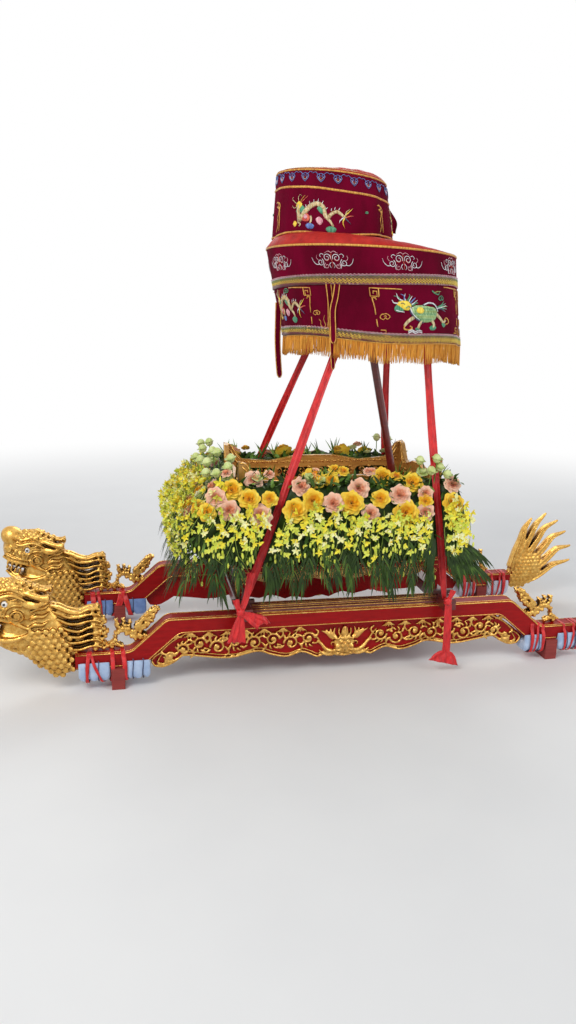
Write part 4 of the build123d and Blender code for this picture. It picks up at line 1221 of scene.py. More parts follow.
THREADS = [
    make_thread("thread_cream", (0.42, 0.29, 0.12), (0.80, 0.66, 0.38)),
    make_thread("thread_gold", (0.50, 0.19, 0.02), (0.84, 0.44, 0.07)),
    make_thread("thread_green", (0.02, 0.16, 0.08), (0.10, 0.38, 0.20)),
    make_thread("thread_blue", (0.05, 0.09, 0.32), (0.16, 0.26, 0.60)),
    make_thread("thread_white", (0.62, 0.62, 0.66), (0.88, 0.88, 0.90)),
    make_thread("thread_red", (0.55, 0.04, 0.03), (0.82, 0.16, 0.08)),
    make_thread("thread_dark", (0.02, 0.015, 0.04), (0.06, 0.05, 0.12)),
    make_thread("thread_yellow", (0.90, 0.54, 0.02), (1.0, 0.80, 0.09)),
    make_thread("thread_pink", (0.60, 0.22, 0.28), (0.90, 0.50, 0.54)),
    make_thread("thread_leaf", (0.20, 0.24, 0.03), (0.44, 0.48, 0.12)),
    make_thread("thread_wine", (0.06, 0.004, 0.008), (0.16, 0.012, 0.016)),
    make_thread("thread_jade", (0.16, 0.34, 0.12), (0.46, 0.64, 0.30)),
]
CREAM, GOLD, GREEN, BLUE, WHITE, RED, DARK, YELLOW, PINK, LEAF, RED_WINE, JADE = range(12)


def make_velvet():
    shade = Shade("velvet", roughness=0.8, Sheen_Weight=0.06, Sheen_Roughness=0.3,
                  Specular_IOR_Level=0.06)
    shade.skin.inputs["Sheen Tint"].default_value = (0.9, 0.02, 0.16, 1)
    crush = shade.noise(7, 5, 0.55, shade.stretch((1.0, 1.0, 0.45)))
    drape = shade.noise(5, 4, 0.5, shade.stretch((1.0, 1.0, 1.6), (0.5, 0.5, 0)))
    pile = shade.noise(900, 2)
    colour = shade.mix(shade.ramp(crush, (0.35, 0.0), (0.68, 1.0)), (0.070, 0.0003, 0.007),
                       (0.170, 0.0008, 0.020))
    colour = shade.mix(shade.ramp(pile, (0.3, 0.0), (0.8, 0.35)), colour, (0.26, 0.002, 0.040))
    shade.bump(shade.noise(13, 4, 0.5, shade.stretch((1.0, 1.0, 0.3))), 0.012, 0.5)
    shade.bump(drape, 0.020, 0.45)
    shade.bump(pile, 0.0008, 0.4)
    return shade.finish(colour, shade.spread(crush, 0.72, 0.9))


def make_roof_satin():
    shade = Shade("roof_satin", Sheen_Weight=0.03, Sheen_Roughness=0.3, Specular_IOR_Level=0.2)
    shade.skin.inputs["Sheen Tint"].default_value = (1.0, 0.25, 0.2, 1)
    creases = shade.noise(26, 5, 0.6)
    # Painted shade and highlight: the roof's colour follows its creases' height, dark low and bright
    # high.
    colour = shade.mix(shade.ramp(creases, (0.3, 0.0), (0.7, 1.0)), (0.34, 0.010, 0.008),
                       (0.56, 0.026, 0.018))
    shade.bump(creases, 0.005, 0.6)
    shade.bump(shade.wave(300, "DIAGONAL"), 0.0003, 0.4)
    return shade.finish(colour, shade.spread(creases, 0.4, 0.6))


def make_fringe_silk():
    shade = Shade("fringe_silk", Sheen_Weight=0.05, Sheen_Roughness=0.4, Specular_IOR_Level=0.3)
    strand = shade.noise(160, 3, 0.6, shade.stretch((1.0, 1.0, 0.04)))
    colour = shade.ramp(strand, (0.28, (0.36, 0.090, 0.010)), (0.46, (0.86, 0.34, 0.035)),
                        (0.72, (1.0, 0.56, 0.09)))
    shade.bump(shade.wave(420, "Z"), 0.0006, 0.6)
    return shade.finish(colour, shade.spread(strand, 0.45, 0.65))


VELVET = make_velvet()
ROOF_SATIN = make_roof_satin()
FRINGE_SILK = make_fringe_silk()


def roof_skin(tier, hole, full_at, shift, share, power):
    """The tier's roof: gathered cloth, full at one side of the rim and slack at the other."""
    made = Build()
    columns, rows = 180, 12
    for inset in (0.0, -ROOF_THICK):
        for row in range(rows + 1):
            reach = 1.0 - (1.0 - hole) * row / rows
            for column in range(columns):
                turn = 2 * math.pi * column / columns
                full = (0.5 + 0.5 * math.cos(turn - math.radians(full_at))) ** 1.5
                slack = (1 - full) * (1 - reach) ** 1.7
                up = tier.rise * share * (full * (1 - reach ** power) + slack) + inset
                pucker = 0.0035 * math.sin(16 * turn + 3 * reach) * (1 - reach) * 2
                pucker = pucker + 0.002 * math.sin(37 * turn) * reach * (1 - reach)
                wide = (tier.radius + 0.001) * reach
                local = Vector((wide * math.cos(turn), wide * math.sin(turn), up + pucker))
                cos, sin = math.cos(tier.rim_tilt), math.sin(tier.rim_tilt)
                made.verts.append((
                    tier.centre + shift * (1 - reach) + local.x * cos + local.z * sin, local.y,
                    tier.rim_z - local.x * sin + local.z * cos + 0.0015))
    made.faces = shell_faces(rows, columns, True, True)
    return made.plain()


def braid(build, tier, share, cords):
    """Zigzag cords sewn side by side round the skirt."""
    turns = 2 * int(360 / BRAID_PITCH)
    for offset, size, number, width in cords:
        path, normals = [], []
        for i in range(turns):
            degrees = i * 360 / turns
            level = share(degrees) if callable(share) else share
            up = offset + size * (1 if i % 2 else -1)
            path.append(tier.on(degrees, level, 0, up / 1000, 0.003))
            normals.append(tier.outward(degrees))
        ridge(build, path, normals, width / 1000, 0.0018, number, 6, True)


def silks(tier, build, degrees, share, size, wide, tip, height, lift):
    """Two ways to embroider a motif, in millimetres from its middle: a line and a padded patch."""
    def at(points):
        return [(u * size * wide, v * size) for u, v in points]

    def line(points, width, number, tip=tip, height=height, lift=lift):
        tier.stroke(build, degrees, share, at(points), width * size, height, number, 4, lift, tip)

    def patch(points, number, height=0.003, lift=0.0015):
        tier.patch(build, degrees, share, at(points), number, height, lift)

    return line, patch


def dragon_motif(build, tier, degrees, share, size, wide=1.0):
    """A striding dragon with a ball, in padded silk."""
    line, patch = silks(tier, build, degrees, share, size, wide, 0.4, 0.0016, 0.0025)
    line([(-97, -30), (-80, -12), (-62, 12), (-40, 34), (-10, 46), (16, 34), (24, 6), (36, -10), (54, 8),
          (78, 18), (98, 4), (112, -6)], 26, CREAM, 0.45, 0.0045, 0.002)
    line([(-96, -32), (-100, -4), (-104, 22), (-100, 40)], 22, CREAM, 0.8, 0.0045, 0.002)
    for u, v, lean in ((-84, -18, 1.0), (-72, -4, 0.9), (-60, 12, 0.9), (-48, 26, 0.7), (-32, 38, 0.4),
                       (-14, 45, 0.0), (4, 42, -0.5), (18, 30, -1.0), (24, 10, -1.4), (44, 0, 0.6),
                       (60, 11, 0.3), (76, 17, 0.0), (-98, -18, 0.2), (-101, 4, 0.0), (-103, 20, 0.0)):
        line([(u - 9 * math.sin(lean + 0.4), v + 9 * math.cos(lean + 0.4)), (u + 3, v + 1),
              (u + 9 * math.sin(lean - 0.1), v - 9 * math.cos(lean - 0.1))], 1.8, GOLD, 0.6, 0.0012,
             0.0066)
    for u, v, x, z in ((-70, 14, -76, 24), (-58, 28, -63, 40), (-42, 42, -45, 55), (-24, 50, -25, 64),
                       (-6, 54, -3, 68), (12, 48, 18, 60), (28, 26, 38, 34), (52, 20, 54, 33),
                       (66, 26, 70, 38), (84, 26, 90, 36)):
        line([(u, v), (x, z)], 5, WHITE, 0.2)
    patch([(-118, 34), (-108, 52), (-92, 54), (-82, 42), (-88, 26), (-104, 20)], YELLOW, 0.0024)
    line([(-112, 44), (-126, 52), (-140, 66), (-132, 74)], 3.4, CREAM)
    line([(-114, 30), (-130, 26), (-142, 38)], 3.4, CREAM)
    line([(-92, 50), (-80, 66), (-66, 80)], 4.5, GOLD)
    line([(-88, 48), (-74, 58), (-52, 78)], 4.5, RED)
    line([(-100, 54), (-104, 70), (-94, 84), (-84, 76)], 3.2, CREAM)
    patch([(-96, 22), (-78, 36), (-66, 20), (-84, 2)], GREEN, 0.0024)
    patch([(-118, 12), (-108, 18), (-96, 12), (-106, 2)], GREEN, 0.003)
    patch([(-136, -42), (-124, -29), (-110, -42), (-124, -56)], YELLOW, 0.003)
    line([(-130, -50), (-118, -46), (-120, -36)], 3, GOLD)
    patch([(-80, -2), (-62, 6), (-42, -12), (-52, -32), (-78, -28)], RED, 0.0024)
    patch([(-68, -6), (-60, -2), (-52, -12), (-58, -22), (-68, -18)], PINK, 0.003, 0.005)
    patch([(-16, -22), (0, -8), (16, -24), (2, -44)], PINK, 0.0024)
    patch([(-10, 26), (6, 38), (24, 22), (12, 4)], GREEN, 0.003)
    line([(-40, -8), (-36, -24), (-42, -40)], 11, CREAM, 0.7)
    patch([(-60, -48), (-44, -38), (-24, -46), (-30, -62), (-52, -62)], BLUE, 0.0024)
    line([(34, -12), (48, -26), (60, -46)], 13, CREAM, 0.7)
    patch([(28, -56), (48, -44), (72, -54), (62, -72), (38, -72)], GREEN, 0.0024)
    line([(-104, -34), (-88, -46), (-96, -54)], 9, CREAM, 0.6)
    for points, number in ((((108, 0), (128, 18), (148, 36)), YELLOW),
                           (((112, -6), (134, 2), (152, 4)), RED),
                           (((108, -8), (100, -28), (108, -52)), YELLOW),
                           (((112, -10), (128, -24), (138, -34)), DARK),
                           (((104, -6), (90, -18), (84, -30)), WHITE),
                           (((112, 2), (118, 20), (134, 32)), CREAM)):
        line(points, 7, number, 0.2)


def qilin_motif(build, tier, degrees, share, size, wide):
    """A running horned beast with hooves, in padded silk."""
    line, patch = silks(tier, build, degrees, share, size, wide, 0.5, 0.0018, 0.0028)
    body = [(-54, 12), (-40, -14), (-8, -33), (28, -32), (52, -20), (62, 4), (56, 26), (30, 32), (-4, 36),
            (-36, 32)]
    patch(body, JADE, 0.006)
    scale_rows = ((22, -30, 44), (11, -38, 50), (0, -40, 50), (-11, -30, 46), (-22, -16, 38))
    for row, (z, first, last) in enumerate(scale_rows):
        for i in range(int((last - first) / 11) + 1):
            u = first + 11 * i + (5 if row % 2 else 0)
            line([(u - 4, z + 3), (u, z - 3), (u + 4, z + 3)], 1.8, (GREEN, LEAF)[row % 2], 0.8, 0.0012,
                 0.0082)
    patch([(-30, 14), (-22, 26), (-6, 27), (2, 15), (-6, 3), (-22, 3)], YELLOW, 0.0030, 0.0075)
    line([(-58, 30), (-50, 4), (-40, -12), (-20, -28), (-2, -36)], 10, DARK, 0.6)
    line([(-54, 28), (-46, 4), (-36, -10), (-18, -25)], 6, WHITE, 0.6, 0.0018, 0.0045)
    line([(0, 34), (24, 46), (48, 44), (62, 30), (68, 12)], 10, DARK, 0.6)
    line([(4, 38), (26, 47), (48, 44), (60, 30), (64, 12)], 6, WHITE, 0.6, 0.0018, 0.0045)
    patch([(-98, 36), (-82, 52), (-58, 50), (-46, 32), (-58, 14), (-84, 18)], YELLOW, 0.005)
    patch([(-108, 20), (-98, 34), (-82, 26), (-76, 12), (-94, 4), (-106, 10)], GREEN, 0.005)
    line([(-104, 12), (-90, 8), (-76, 6)], 5, WHITE, 0.6, 0.0018, 0.006)
    line([(-86, 40), (-78, 42), (-72, 36)], 3.4, DARK, 0.7, 0.0016, 0.0075)
    line([(-70, 22), (-60, 30), (-54, 24)], 3.4, GREEN, 0.7, 0.0016, 0.0075)
    mane = ((-114, 54, -92, 40), (-106, 70, -86, 46), (-96, 80, -78, 52), (-82, 78, -72, 52),
            (-66, 80, -66, 54), (-52, 78, -60, 52), (-40, 72, -54, 48), (-28, 66, -50, 44),
            (-20, 56, -46, 38), (-18, 44, -46, 32), (-24, 34, -44, 26))
    for i, (u, v, x, z) in enumerate(mane):
        bend = (6 if i % 2 else -5)
        line([(x, z), ((u + x) / 2 + bend, (v + z) / 2 + bend), (u, v)], 6.5,
             (WHITE, GREEN, WHITE, BLUE)[i % 4], 0.3)
    for i, (u, v) in enumerate(((120, 50), (128, 38), (124, 26), (114, 14), (108, 58))):
        line([(62, 28), (88, 30 + 0.35 * (v - 30)), (u, v)], 10, (GREEN, JADE, GREEN, DARK, GREEN)[i],
             0.2)
    line([(64, 26), (90, 32), (118, 42)], 4, WHITE, 0.4, 0.0018, 0.005)
    line([(-40, -14), (-64, -30), (-80, -50)], 16, CREAM, 0.7)
    line([(-78, -48), (-82, -62), (-66, -66), (-52, -58), (-60, -50)], 6, GOLD, 0.9)
    line([(-10, -28), (-22, -48), (-30, -64)], 14, CREAM, 0.7)
    patch([(-40, -62), (-30, -56), (-20, -62), (-28, -70)], GREEN, 0.003)
    line([(36, -24), (44, -44), (38, -56)], 15, CREAM, 0.8)
    patch([(24, -54), (40, -46), (54, -54), (44, -66), (28, -66)], GREEN, 0.0024)
    line([(54, 6), (76, -16), (94, -32), (112, -22)], 15, CREAM, 0.6)
    line([(100, -24), (114, -12), (128, -20), (126, -34), (108, -40)], 5, GOLD, 0.9)
    patch([(84, -40), (96, -32), (108, -44), (94, -54)], GREEN, 0.0024)
    for lift in (0, 7):
        line([(-68, -72 - lift), (-54, -66 - lift), (-40, -73 - lift), (-26, -67 - lift),
              (-12, -71 - lift)], 5, WHITE, 0.8)
    line([(48, 98), (60, 88), (76, 84), (84, 96)], 6, GREEN, 0.5)
    line([(58, 90), (72, 96), (92, 98)], 5, LEAF, 0.3)


def cloud_motif(build, tier, degrees, share):
    """A symmetrical cloud scroll in grey and white outline."""
    for hand in (-1, 1):
        def line(points, width, number, tip=0.5):
            tier.stroke(build, degrees, share, [(hand * u, v) for u, v in points], width, 0.0014, number,
                        3, 0.0024, tip)
        line(spiral((20, 14), 17, 4, 200, -1.4, 12), 2.8, WHITE, 0.6)
        line(spiral((50, -4), 15, 4, 120, 1.4, 12), 2.8, WHITE, 0.6)
        line(spiral((24, -18), 12, 3, 60, -1.2, 10), 2.6, PINK, 0.6)
        line([(56, -12), (70, -14), (84, -2), (90, 14)], 3, WHITE, 0.4)
        line([(60, 4), (68, 14), (64, 24)], 2.6, PINK, 0.4)
        line([(0, 34), (12, 40), (28, 32)], 2.6, PINK, 0.6)
        line([(34, 26), (44, 30), (52, 22), (46, 16)], 2.4, WHITE, 0.6)
        line([(10, 10), (18, 2), (30, 4)], 2.4, RED, 0.6)
        line([(30, -8), (38, -18), (34, -28)], 2.6, WHITE, 0.6)
        line([(4, -4), (12, -14), (6, -26)], 2.4, WHITE, 0.6)
    tier.stroke(build, degrees, share, [(0, 30), (-3, 12), (3, -6), (0, -24)], 2.6, 0.0014, RED, 3,
                0.0024, 0.6)


def scallop_motif(build, tier, degrees, share, pitch):
    """One heart-shaped scroll of the collar, with the wave that joins it to the next."""
    for hand in (-1, 1):
        points = [(0, -17), (hand * 12, -5), (hand * 16, 5), (hand * 10, 12), (hand * 4, 6),
                  (hand * 7, 1), (hand * 10, 4)]
        tier.stroke(build, degrees, share, points, 3.2, 0.0014, BLUE, 4, 0.0024, 0.7)
        inner = [(0, -11), (hand * 7, -4), (hand * 11, 3)]
        tier.stroke(build, degrees, share, inner, 1.6, 0.0016, WHITE, 3, 0.0026, 0.8)
    tier.stroke(build, degrees, share, [(-pitch / 2, 16), (-pitch / 3, 20), (-pitch / 6, 12), (0, 16),
                                        (pitch / 6, 12), (pitch / 3, 20), (pitch / 2, 16)], 2.4, 0.0013,
                BLUE, 3, 0.0024)
    tier.stroke(build, degrees, share, [(-2, 1), (0, -3), (1, -6)], 2.2, 0.0016, RED, 2, 0.0026)


def key_corner(build, tier, degrees, share, hand):
    """A gold key pattern at a panel's upper corner, with a line along each side."""
    def line(points, steps=1):
        tier.stroke(build, degrees, share, [(hand * u, v) for u, v in points], 4.6, 0.0016, GOLD, steps,
                    0.0024)
    line([(130, 0), (100, 1), (26, 0), (-8, 0), (-8, -32), (22, -32), (22, -12), (6, -12), (6, -22)])
    line([(30, 0), (30, -30), (26, -34)])
    line([(-2, -36), (2, -56), (6, -76), (7, -104)])
    line([(0, -38), (14, -38), (16, -46)])
    line([(8, -122), (10, -146), (10, -152)])
    line([(22, -164), (44, -164), (44, -178), (30, -178), (30, -186), (64, -188)])


def small_cloud(build, tier, degrees, share, size=1.0, number=GOLD):
    """A curled cloud in one colour."""
    points = [(-20, -2), (-12, 8), (-2, 10), (8, 12), (20, 6), (22, -2), (10, -10), (2, -4), (-6, -12),
              (-18, -8), (-20, -2)]
    tier.stroke(build, degrees, share, [(u * size, v * size) for u, v in points], 3.6, 0.0014, number, 3,
                0.0024)
    tier.stroke(build, degrees, share, [(-4 * size, 0), (4 * size, 4 * size), (8 * size, -2 * size)], 3.2,
                0.0014, number, 3, 0.0024)


def flame_motif(build, tier, degrees, share):
    """Three gold flames on a foot."""
    for points in ([(0, -24), (10, -6), (4, 14), (12, 34)], [(-4, -22), (-16, -8), (-14, 6), (-22, 16)],
                   [(4, -24), (20, -14), (22, 2), (32, 10)], [(-20, -26), (0, -30), (22, -26)]):
        tier.stroke(build, degrees, share, points, 4.2, 0.0015, GOLD, 4, 0.0024, 0.4)


def braid_level(degrees):
    """The middle braid lies a little lower at the front than at the rear."""
    return 0.350 - 0.060 * math.sin(math.radians(degrees - 254))


def collar_level(degrees):
    return 0.300 + 0.042 * math.sin(math.radians(degrees - 256))


def lower_embroidery():
    made = Build()
    for k in range(9):
        degrees = 277 + 40 * k
        cloud_motif(made, LOWER, degrees, braid_level(degrees) * 0.5)
    for k, (centre, animal) in enumerate(((290, 287), (186, 196), (98, 98), (8, 8))):
        if k % 2 == 0:
            qilin_motif(made, LOWER, animal, 0.680, 0.98, 1.26)
        else:
            dragon_motif(made, LOWER, animal, 0.680, 0.92)
        for hand in (-1, 1):
            at = centre + 33 * hand
            key_corner(made, LOWER, at, braid_level(at) + 0.085, -hand)
        small_cloud(made, LOWER, centre - 27, 0.72)
        small_cloud(made, LOWER, centre + 36, 0.74, 0.8)
        small_cloud(made, LOWER, centre + 12, 0.50, 0.8, GREEN)
        flame_motif(made, LOWER, centre + 40, 0.85)
    return made


def upper_embroidery():
    made = Build()
    count = 22
    pitch = 2 * math.pi * UPPER.radius * 1000 / count
    for k in range(count):
        degrees = 262 + 360 / count * k
        scallop_motif(made, UPPER, degrees, collar_level(degrees) * 0.46, pitch)
    for k in range(3):
        dragon_motif(made, UPPER, 244 + 120 * k, 0.70, 0.90)
        small_cloud(made, UPPER, 245 + 120 * k + 46, 0.62, 0.3, GREEN)
        at = 245 + 120 * k + 66
        corner = [(-24, 46), (-12, 50), (4, 36), (-16, 30), (-4, 26), (6, 20), (2, 4), (-6, -14),
                  (0, -34), (-10, -58), (-16, -66)]
        UPPER.stroke(made, at, 0.66, corner, 5, 0.0018, GOLD, 4, 0.0024, 0.5)
        UPPER.stroke(made, at, 0.66, [(-20, 48), (6, 44), (14, 30), (10, 8), (12, -20), (10, -64)], 4,
                     0.0016, GOLD, 4, 0.0024)
        UPPER.stroke(made, at, 0.66, [(-8, 34), (0, 24), (8, 28), (6, 12)], 6, 0.0016, GOLD, 4, 0.0024)
    return made


FRINGE_DROP = 0.080


def make_fringe(tier, drop):
    """Silk strands hung close together from a cord under the hem."""
    made = Build()
    strands = 1150
    for i in range(strands):
        degrees = 360 * i / strands + rng.uniform(-0.12, 0.12)
        head = tier.point(degrees, 1.0, rng.uniform(-0.0035, 0.001))
        head.z -= 0.002
        length = drop + rng.uniform(-0.007, 0.002) + 0.004 * math.sin(i * 0.07)
        outward = tier.outward(degrees)
        along = Vector((-outward.y, outward.x, 0))
        drift = rng.uniform(-0.005, 0.005)
        bow = rng.uniform(-0.003, 0.003)
        path = []
        for k in range(4):
            t = k / 3
            path.append(head + along * (drift * t * t + bow * math.sin(math.pi * t))
                        + outward * (0.002 * t) - Vector((0, 0, length * t)))
        size = 0.0036 * rng.uniform(0.85, 1.15)
        ridge(made, path, outward, [size, size, size * 0.95, size * 0.5], size * 0.42, 0, 4)
    return made


def make_strap(points, width, twist=0.0):
    """A narrow velvet strap with gold edges that hangs from the braid."""
    cloth, edges = Build(), Build()
    path = [Vector(p[:3]) for p in smooth_path([tuple(p) for p in points], 8)]
    count = len(path)
    rows = []
    for i, point in enumerate(path):
        along = (path[min(i + 1, count - 1)] - path[max(i - 1, 0)]).normalized()
        turn = math.radians(-78) + twist * i / count
        across = Vector((math.cos(turn + math.pi / 2), math.sin(turn + math.pi / 2), 0))
        across = (across - along * across.dot(along)).normalized()
        rows.append((point, across, across.cross(along), min(1.0, (count - 1 - i) / 3 + 0.25)))
    for point, across, normal, end in rows:
        for side in (-1, -0.5, 0, 0.5, 1):
            for face in (1, -1):
                offset = (across * (side * width / 2 * end)
                          + normal * (0.0009 * face + 0.0012 * (1 - side * side)))
                cloth.verts.append(tuple(point + offset))
    for i in range(count - 1):
        for k in range(4):
            a, b = i * 10 + k * 2, (i + 1) * 10 + k * 2
            cloth.faces.append((a, a + 2, b + 2, b))
            cloth.faces.append((a + 1, b + 1, b + 3, a + 3))
        a, b = i * 10, (i + 1) * 10
        cloth.faces.append((a, b, b + 1, a + 1))
        cloth.faces.append((a + 8, a + 9, b + 9, b + 8))
    for a in (0, (count - 1) * 10):
        for k in range(4):
            cloth.faces.append((a + 2 * k, a + 2 * k + 1, a + 2 * k + 3, a + 2 * k + 2))
    cloth.plain()
    for side in (-1, 1):
        line = [point + across * (side * width / 2 * end) for point, across, _, end in rows]
        ridge(edges, line, [row[2] for row in rows], 0.005, 0.0016, 0, 6)
    return cloth, edges


lower_skirt = LOWER.skin(22, 240).piece("canopy_lower_skirt", [VELVET], "velvet", ["canopy_lower_cover"])
upper_skirt = UPPER.skin(15, 180).piece("canopy_upper_skirt", [VELVET], "velvet", ["canopy_upper_cover"])
lower_roof = roof_skin(LOWER, 0.10, 204, -0.045, 0.88, 16.0).piece("canopy_lower_roof", [ROOF_SATIN],
        "velvet")
upper_roof = roof_skin(UPPER, 0.02, 318, 0.02, 0.74, 9.0).piece("canopy_upper_roof", [ROOF_SATIN],
        "velvet")

# Cords of the two braids: millimetres up from the middle, half the zigzag, colour and width
MIDDLE_BRAID = [(19.5, 2.2, PINK, 3.2), (15, 2.2, WHITE, 1.6), (8.5, 4.6, LEAF, 3.2),
                (-1.5, 5.2, YELLOW, 4.4), (-10.5, 5.2, YELLOW, 4.4), (-18, 1.6, PINK, 2.4)]
HEM_BRAID = [(17, 2.2, PINK, 3.0), (13, 2.0, WHITE, 1.4), (7, 4.4, LEAF, 3.0),
             (-2, 5.0, YELLOW, 4.4), (-10.5, 4.8, YELLOW, 4.2), (-16.5, 1.4, GOLD, 2.2)]
BRAID_PITCH = 2.25
HEM_LEVEL = 0.940
trim = Build()
LOWER.band(trim, 0.010, 0.009, 0.0030, GOLD, lift=0.0005)
LOWER.band(trim, 1.0, 0.005, 0.0026, GOLD, lift=0.0)
braid(trim, LOWER, braid_level, MIDDLE_BRAID)
LOWER.band(trim, braid_level, 0.043, 0.0014, RED_WINE, lift=0.0014)
braid(trim, LOWER, HEM_LEVEL, HEM_BRAID)
LOWER.band(trim, HEM_LEVEL, 0.040, 0.0014, RED_WINE, lift=0.0014)
lower_trim = trim.piece("canopy_lower_trim", THREADS, "fringe", most=32000)
trim = Build()
UPPER.band(trim, 0.015, 0.007, 0.0028, GOLD, lift=0.0005, columns=240)
UPPER.band(trim, collar_level, 0.009, 0.0028, GOLD, lift=0.0008, columns=240, wobble=0.003)
UPPER.band(trim, 0.978, 0.008, 0.0026, GOLD, lift=0.0008, columns=240)
upper_trim = trim.piece("canopy_upper_trim", THREADS, "fringe", most=8000)
lower_stitching = lower_embroidery().piece("canopy_lower_stitching", THREADS, "velvet", most=37000)
upper_stitching = upper_embroidery().piece("canopy_upper_stitching", THREADS, "velvet", most=21000)
fringe = make_fringe(LOWER, FRINGE_DROP).piece("fringe", [FRINGE_SILK], "fringe", ["canopy_fringe"])

STRAPS = [
    ([LOWER.point(*place) for place in (
        (233.5, 0.42, 0.010), (233.2, 0.62, 0.012), (232, 0.80, 0.015),
        (231, 1.0, 0.012), (229.5, 1.22, 0.010), (228.5, 1.36, 0.008))], 0.022, 0.5),
    ([LOWER.point(*place) for place in (
        (238.5, 0.42, 0.010), (236.5, 0.56, 0.013), (234.2, 0.70, 0.018),
        (232.8, 0.90, 0.018), (231.5, 1.06, 0.014))], 0.022, -0.4),
    ([LOWER.point(183, 0.62, lift) - Vector((back, 0, drop)) for lift, back, drop in (
        (0.008, 0, 0), (0.009, 0, 0.08), (0.010, 0, 0.17), (0.009, -0.004, 0.26),
        (0.008, -0.010, 0.333))], 0.026, 0.2),
]
for index, (points, width, twist) in enumerate(STRAPS):
    cloth, edges = make_strap(points, width, twist)
    thing = cloth.piece("strap_%d" % (index + 1), [VELVET], "velvet")
    edge = edges.piece("strap_edge_%d" % (index + 1), [THREADS[GOLD]], "velvet")


def make_flap():
    """The loose corner of the upper skirt's seam, turned out at the rear."""
    made = Build()
    rows, columns = 12, 8
    for face in (0.0, CLOTH_THICK):
        for i in range(rows + 1):
            share = 0.30 + 0.50 * i / rows
            flare = math.sin(math.pi * min(1.0, i / rows * 1.15) * 0.62) ** 1.5
            for k in range(columns + 1):
                t = k / columns
                base = UPPER.point(352 + 2 * t, share, 0.003)
                reach = t * flare * (1 - 0.55 * max(0, i / rows - 0.6))
                spread = Vector((0.030, -0.030, -0.006)) * reach
                ripple = 0.003 * math.sin(6 * t + 5 * share) * flare
                made.verts.append(tuple(base + spread + Vector((ripple, ripple + face, 0))))
    count = columns + 1
    block = (rows + 1) * count
    made.faces = grid_faces(rows, columns, False, 0, True) + grid_faces(rows, columns, False, block)
    rim = list(range(count)) + [i * count + columns for i in range(1, rows + 1)]
    rim += [rows * count + k for k in range(columns - 1, -1, -1)]
    rim += [i * count for i in range(rows - 1, 0, -1)]
    for a, b in zip(rim, rim[1:] + rim[:1]):
        made.faces.append((a, b, b + block, a + block))
    return made.plain()


flap = make_flap().piece("canopy_flap", [VELVET], "velvet")


# Flowers: a bank round the near side, the front and the far side of the altar. Each level of it has
# a height, its reach to the front, the rear and the side, and its corner radius.
BANK = [(0.514, 0.640, 0.470, 0.430, 0.09), (0.580, 0.712, 0.520, 0.470, 0.12),
        (0.690, 0.722, 0.525, 0.480, 0.13), (0.790, 0.660, 0.515, 0.446, 0.12),
        (0.880, 0.556, 0.500, 0.376, 0.06)]
RIBBON_ENDS = (("front_near", (-0.478, -0.464, 0.336), (0.119, -0.195, 1.825)),
               ("front_far", (-0.478, 0.464, 0.336), (0.119, 0.195, 1.825)),
               ("rear_near", (0.442, -0.464, 0.336), (0.335, -0.211, 1.818)),
               ("rear_far", (0.442, 0.464, 0.336), (0.335, 0.211, 1.818)))
RIBBON_HALF = 0.018
SPRAYS = 130
SIDE_LEAVES, TOP_LEAVES, REAR_LEAVES = 1500, 700, 150
LOW_PALMS, HIGH_PALMS = 62, 50


def bank_size(z):
    """The bank's reach at a height: front, rear, side and corner radius."""
    if z <= BANK[0][0]:
        return BANK[0][1:]
    for low, high in zip(BANK, BANK[1:]):
        if z <= high[0]:
            t = (z - low[0]) / (high[0] - low[0])
            return tuple(a + (b - a) * t for a, b in zip(low[1:], high[1:]))
    return BANK[-1][1:]


def bank_place(share, z, inset):
    """A point of the bank's outer face and its outward direction; share runs from the near rear
    corner round the front to the far rear corner."""
    front, rear, side, radius = bank_size(z)
    front, side, radius = front - inset, side - inset, max(radius - inset, 0.02)
    straight = rear + front - radius
    corner = radius * math.pi / 2
    across = 2 * (side - radius)
    total = 2 * straight + 2 * corner + across
    s = share * total
    if s < straight:
        return Vector((rear - s, -side, z)), Vector((0, -1, 0))
    s -= straight
    if s < corner:
        a = -math.pi / 2 - s / radius
        out = Vector((math.cos(a), math.sin(a), 0))
        return Vector((-front + radius, -side + radius, z)) + out * radius, out
    s -= corner
    if s < across:
        return Vector((-front, -side + radius + s, z)), Vector((-1, 0, 0))
    s -= across
    if s < corner:
        a = math.pi - s / radius
        out = Vector((math.cos(a), math.sin(a), 0))
        return Vector((-front + radius, side - radius, z)) + out * radius, out
    s -= corner
    return Vector((-front + radius + s, side, z)), Vector((0, 1, 0))


def ribbon_spots(point):
    """The guy ribbons on a point's side of the altar: name, direction and place at its height."""
    for name, low, high in RIBBON_ENDS:
        low, line = Vector(low), Vector(high) - Vector(low)
        if point.y * low.y >= 0:
            yield name, line, low + line * max(0.0, min(1.0, (point.z - low.z) / line.z))


def ribbon_distance(point):
    """How far a point is from the nearest ribbon. The flowers part a little ahead of each ribbon."""
    best = 9.0
    for name, line, spot in ribbon_spots(point):
        depth = abs(point.y) - abs(spot.y)
        if depth > -0.030:
            parted = spot.x - (0.18 if name.startswith("front") else 0.36) * max(0.0, depth)
            best = min(best, abs(point.x - parted) * line.z / math.hypot(line.x, line.z))
    return best


def pressed(point):
    """A point of the bank, moved in behind the ribbon that crosses it."""
    for _, _, spot in ribbon_spots(point):
        near = abs(point.x - spot.x)
        depth = abs(spot.y) - 0.007 + max(0.0, near - RIBBON_HALF - 0.012) * 2.0
        if abs(point.y) > depth and near < 0.06:
            point = Vector((point.x, math.copysign(depth, point.y), point.z))
    return point


def facing(outward, up_share, spin=0.0):
    """A turn whose z axis points outward and partly up."""
    axis = (outward * (1 - up_share) + Vector((0, 0, up_share))).normalized()
    turn = axis.to_track_quat("Z", "Y").to_matrix()
    return turn @ Matrix.Rotation(spin, 3, "Z")


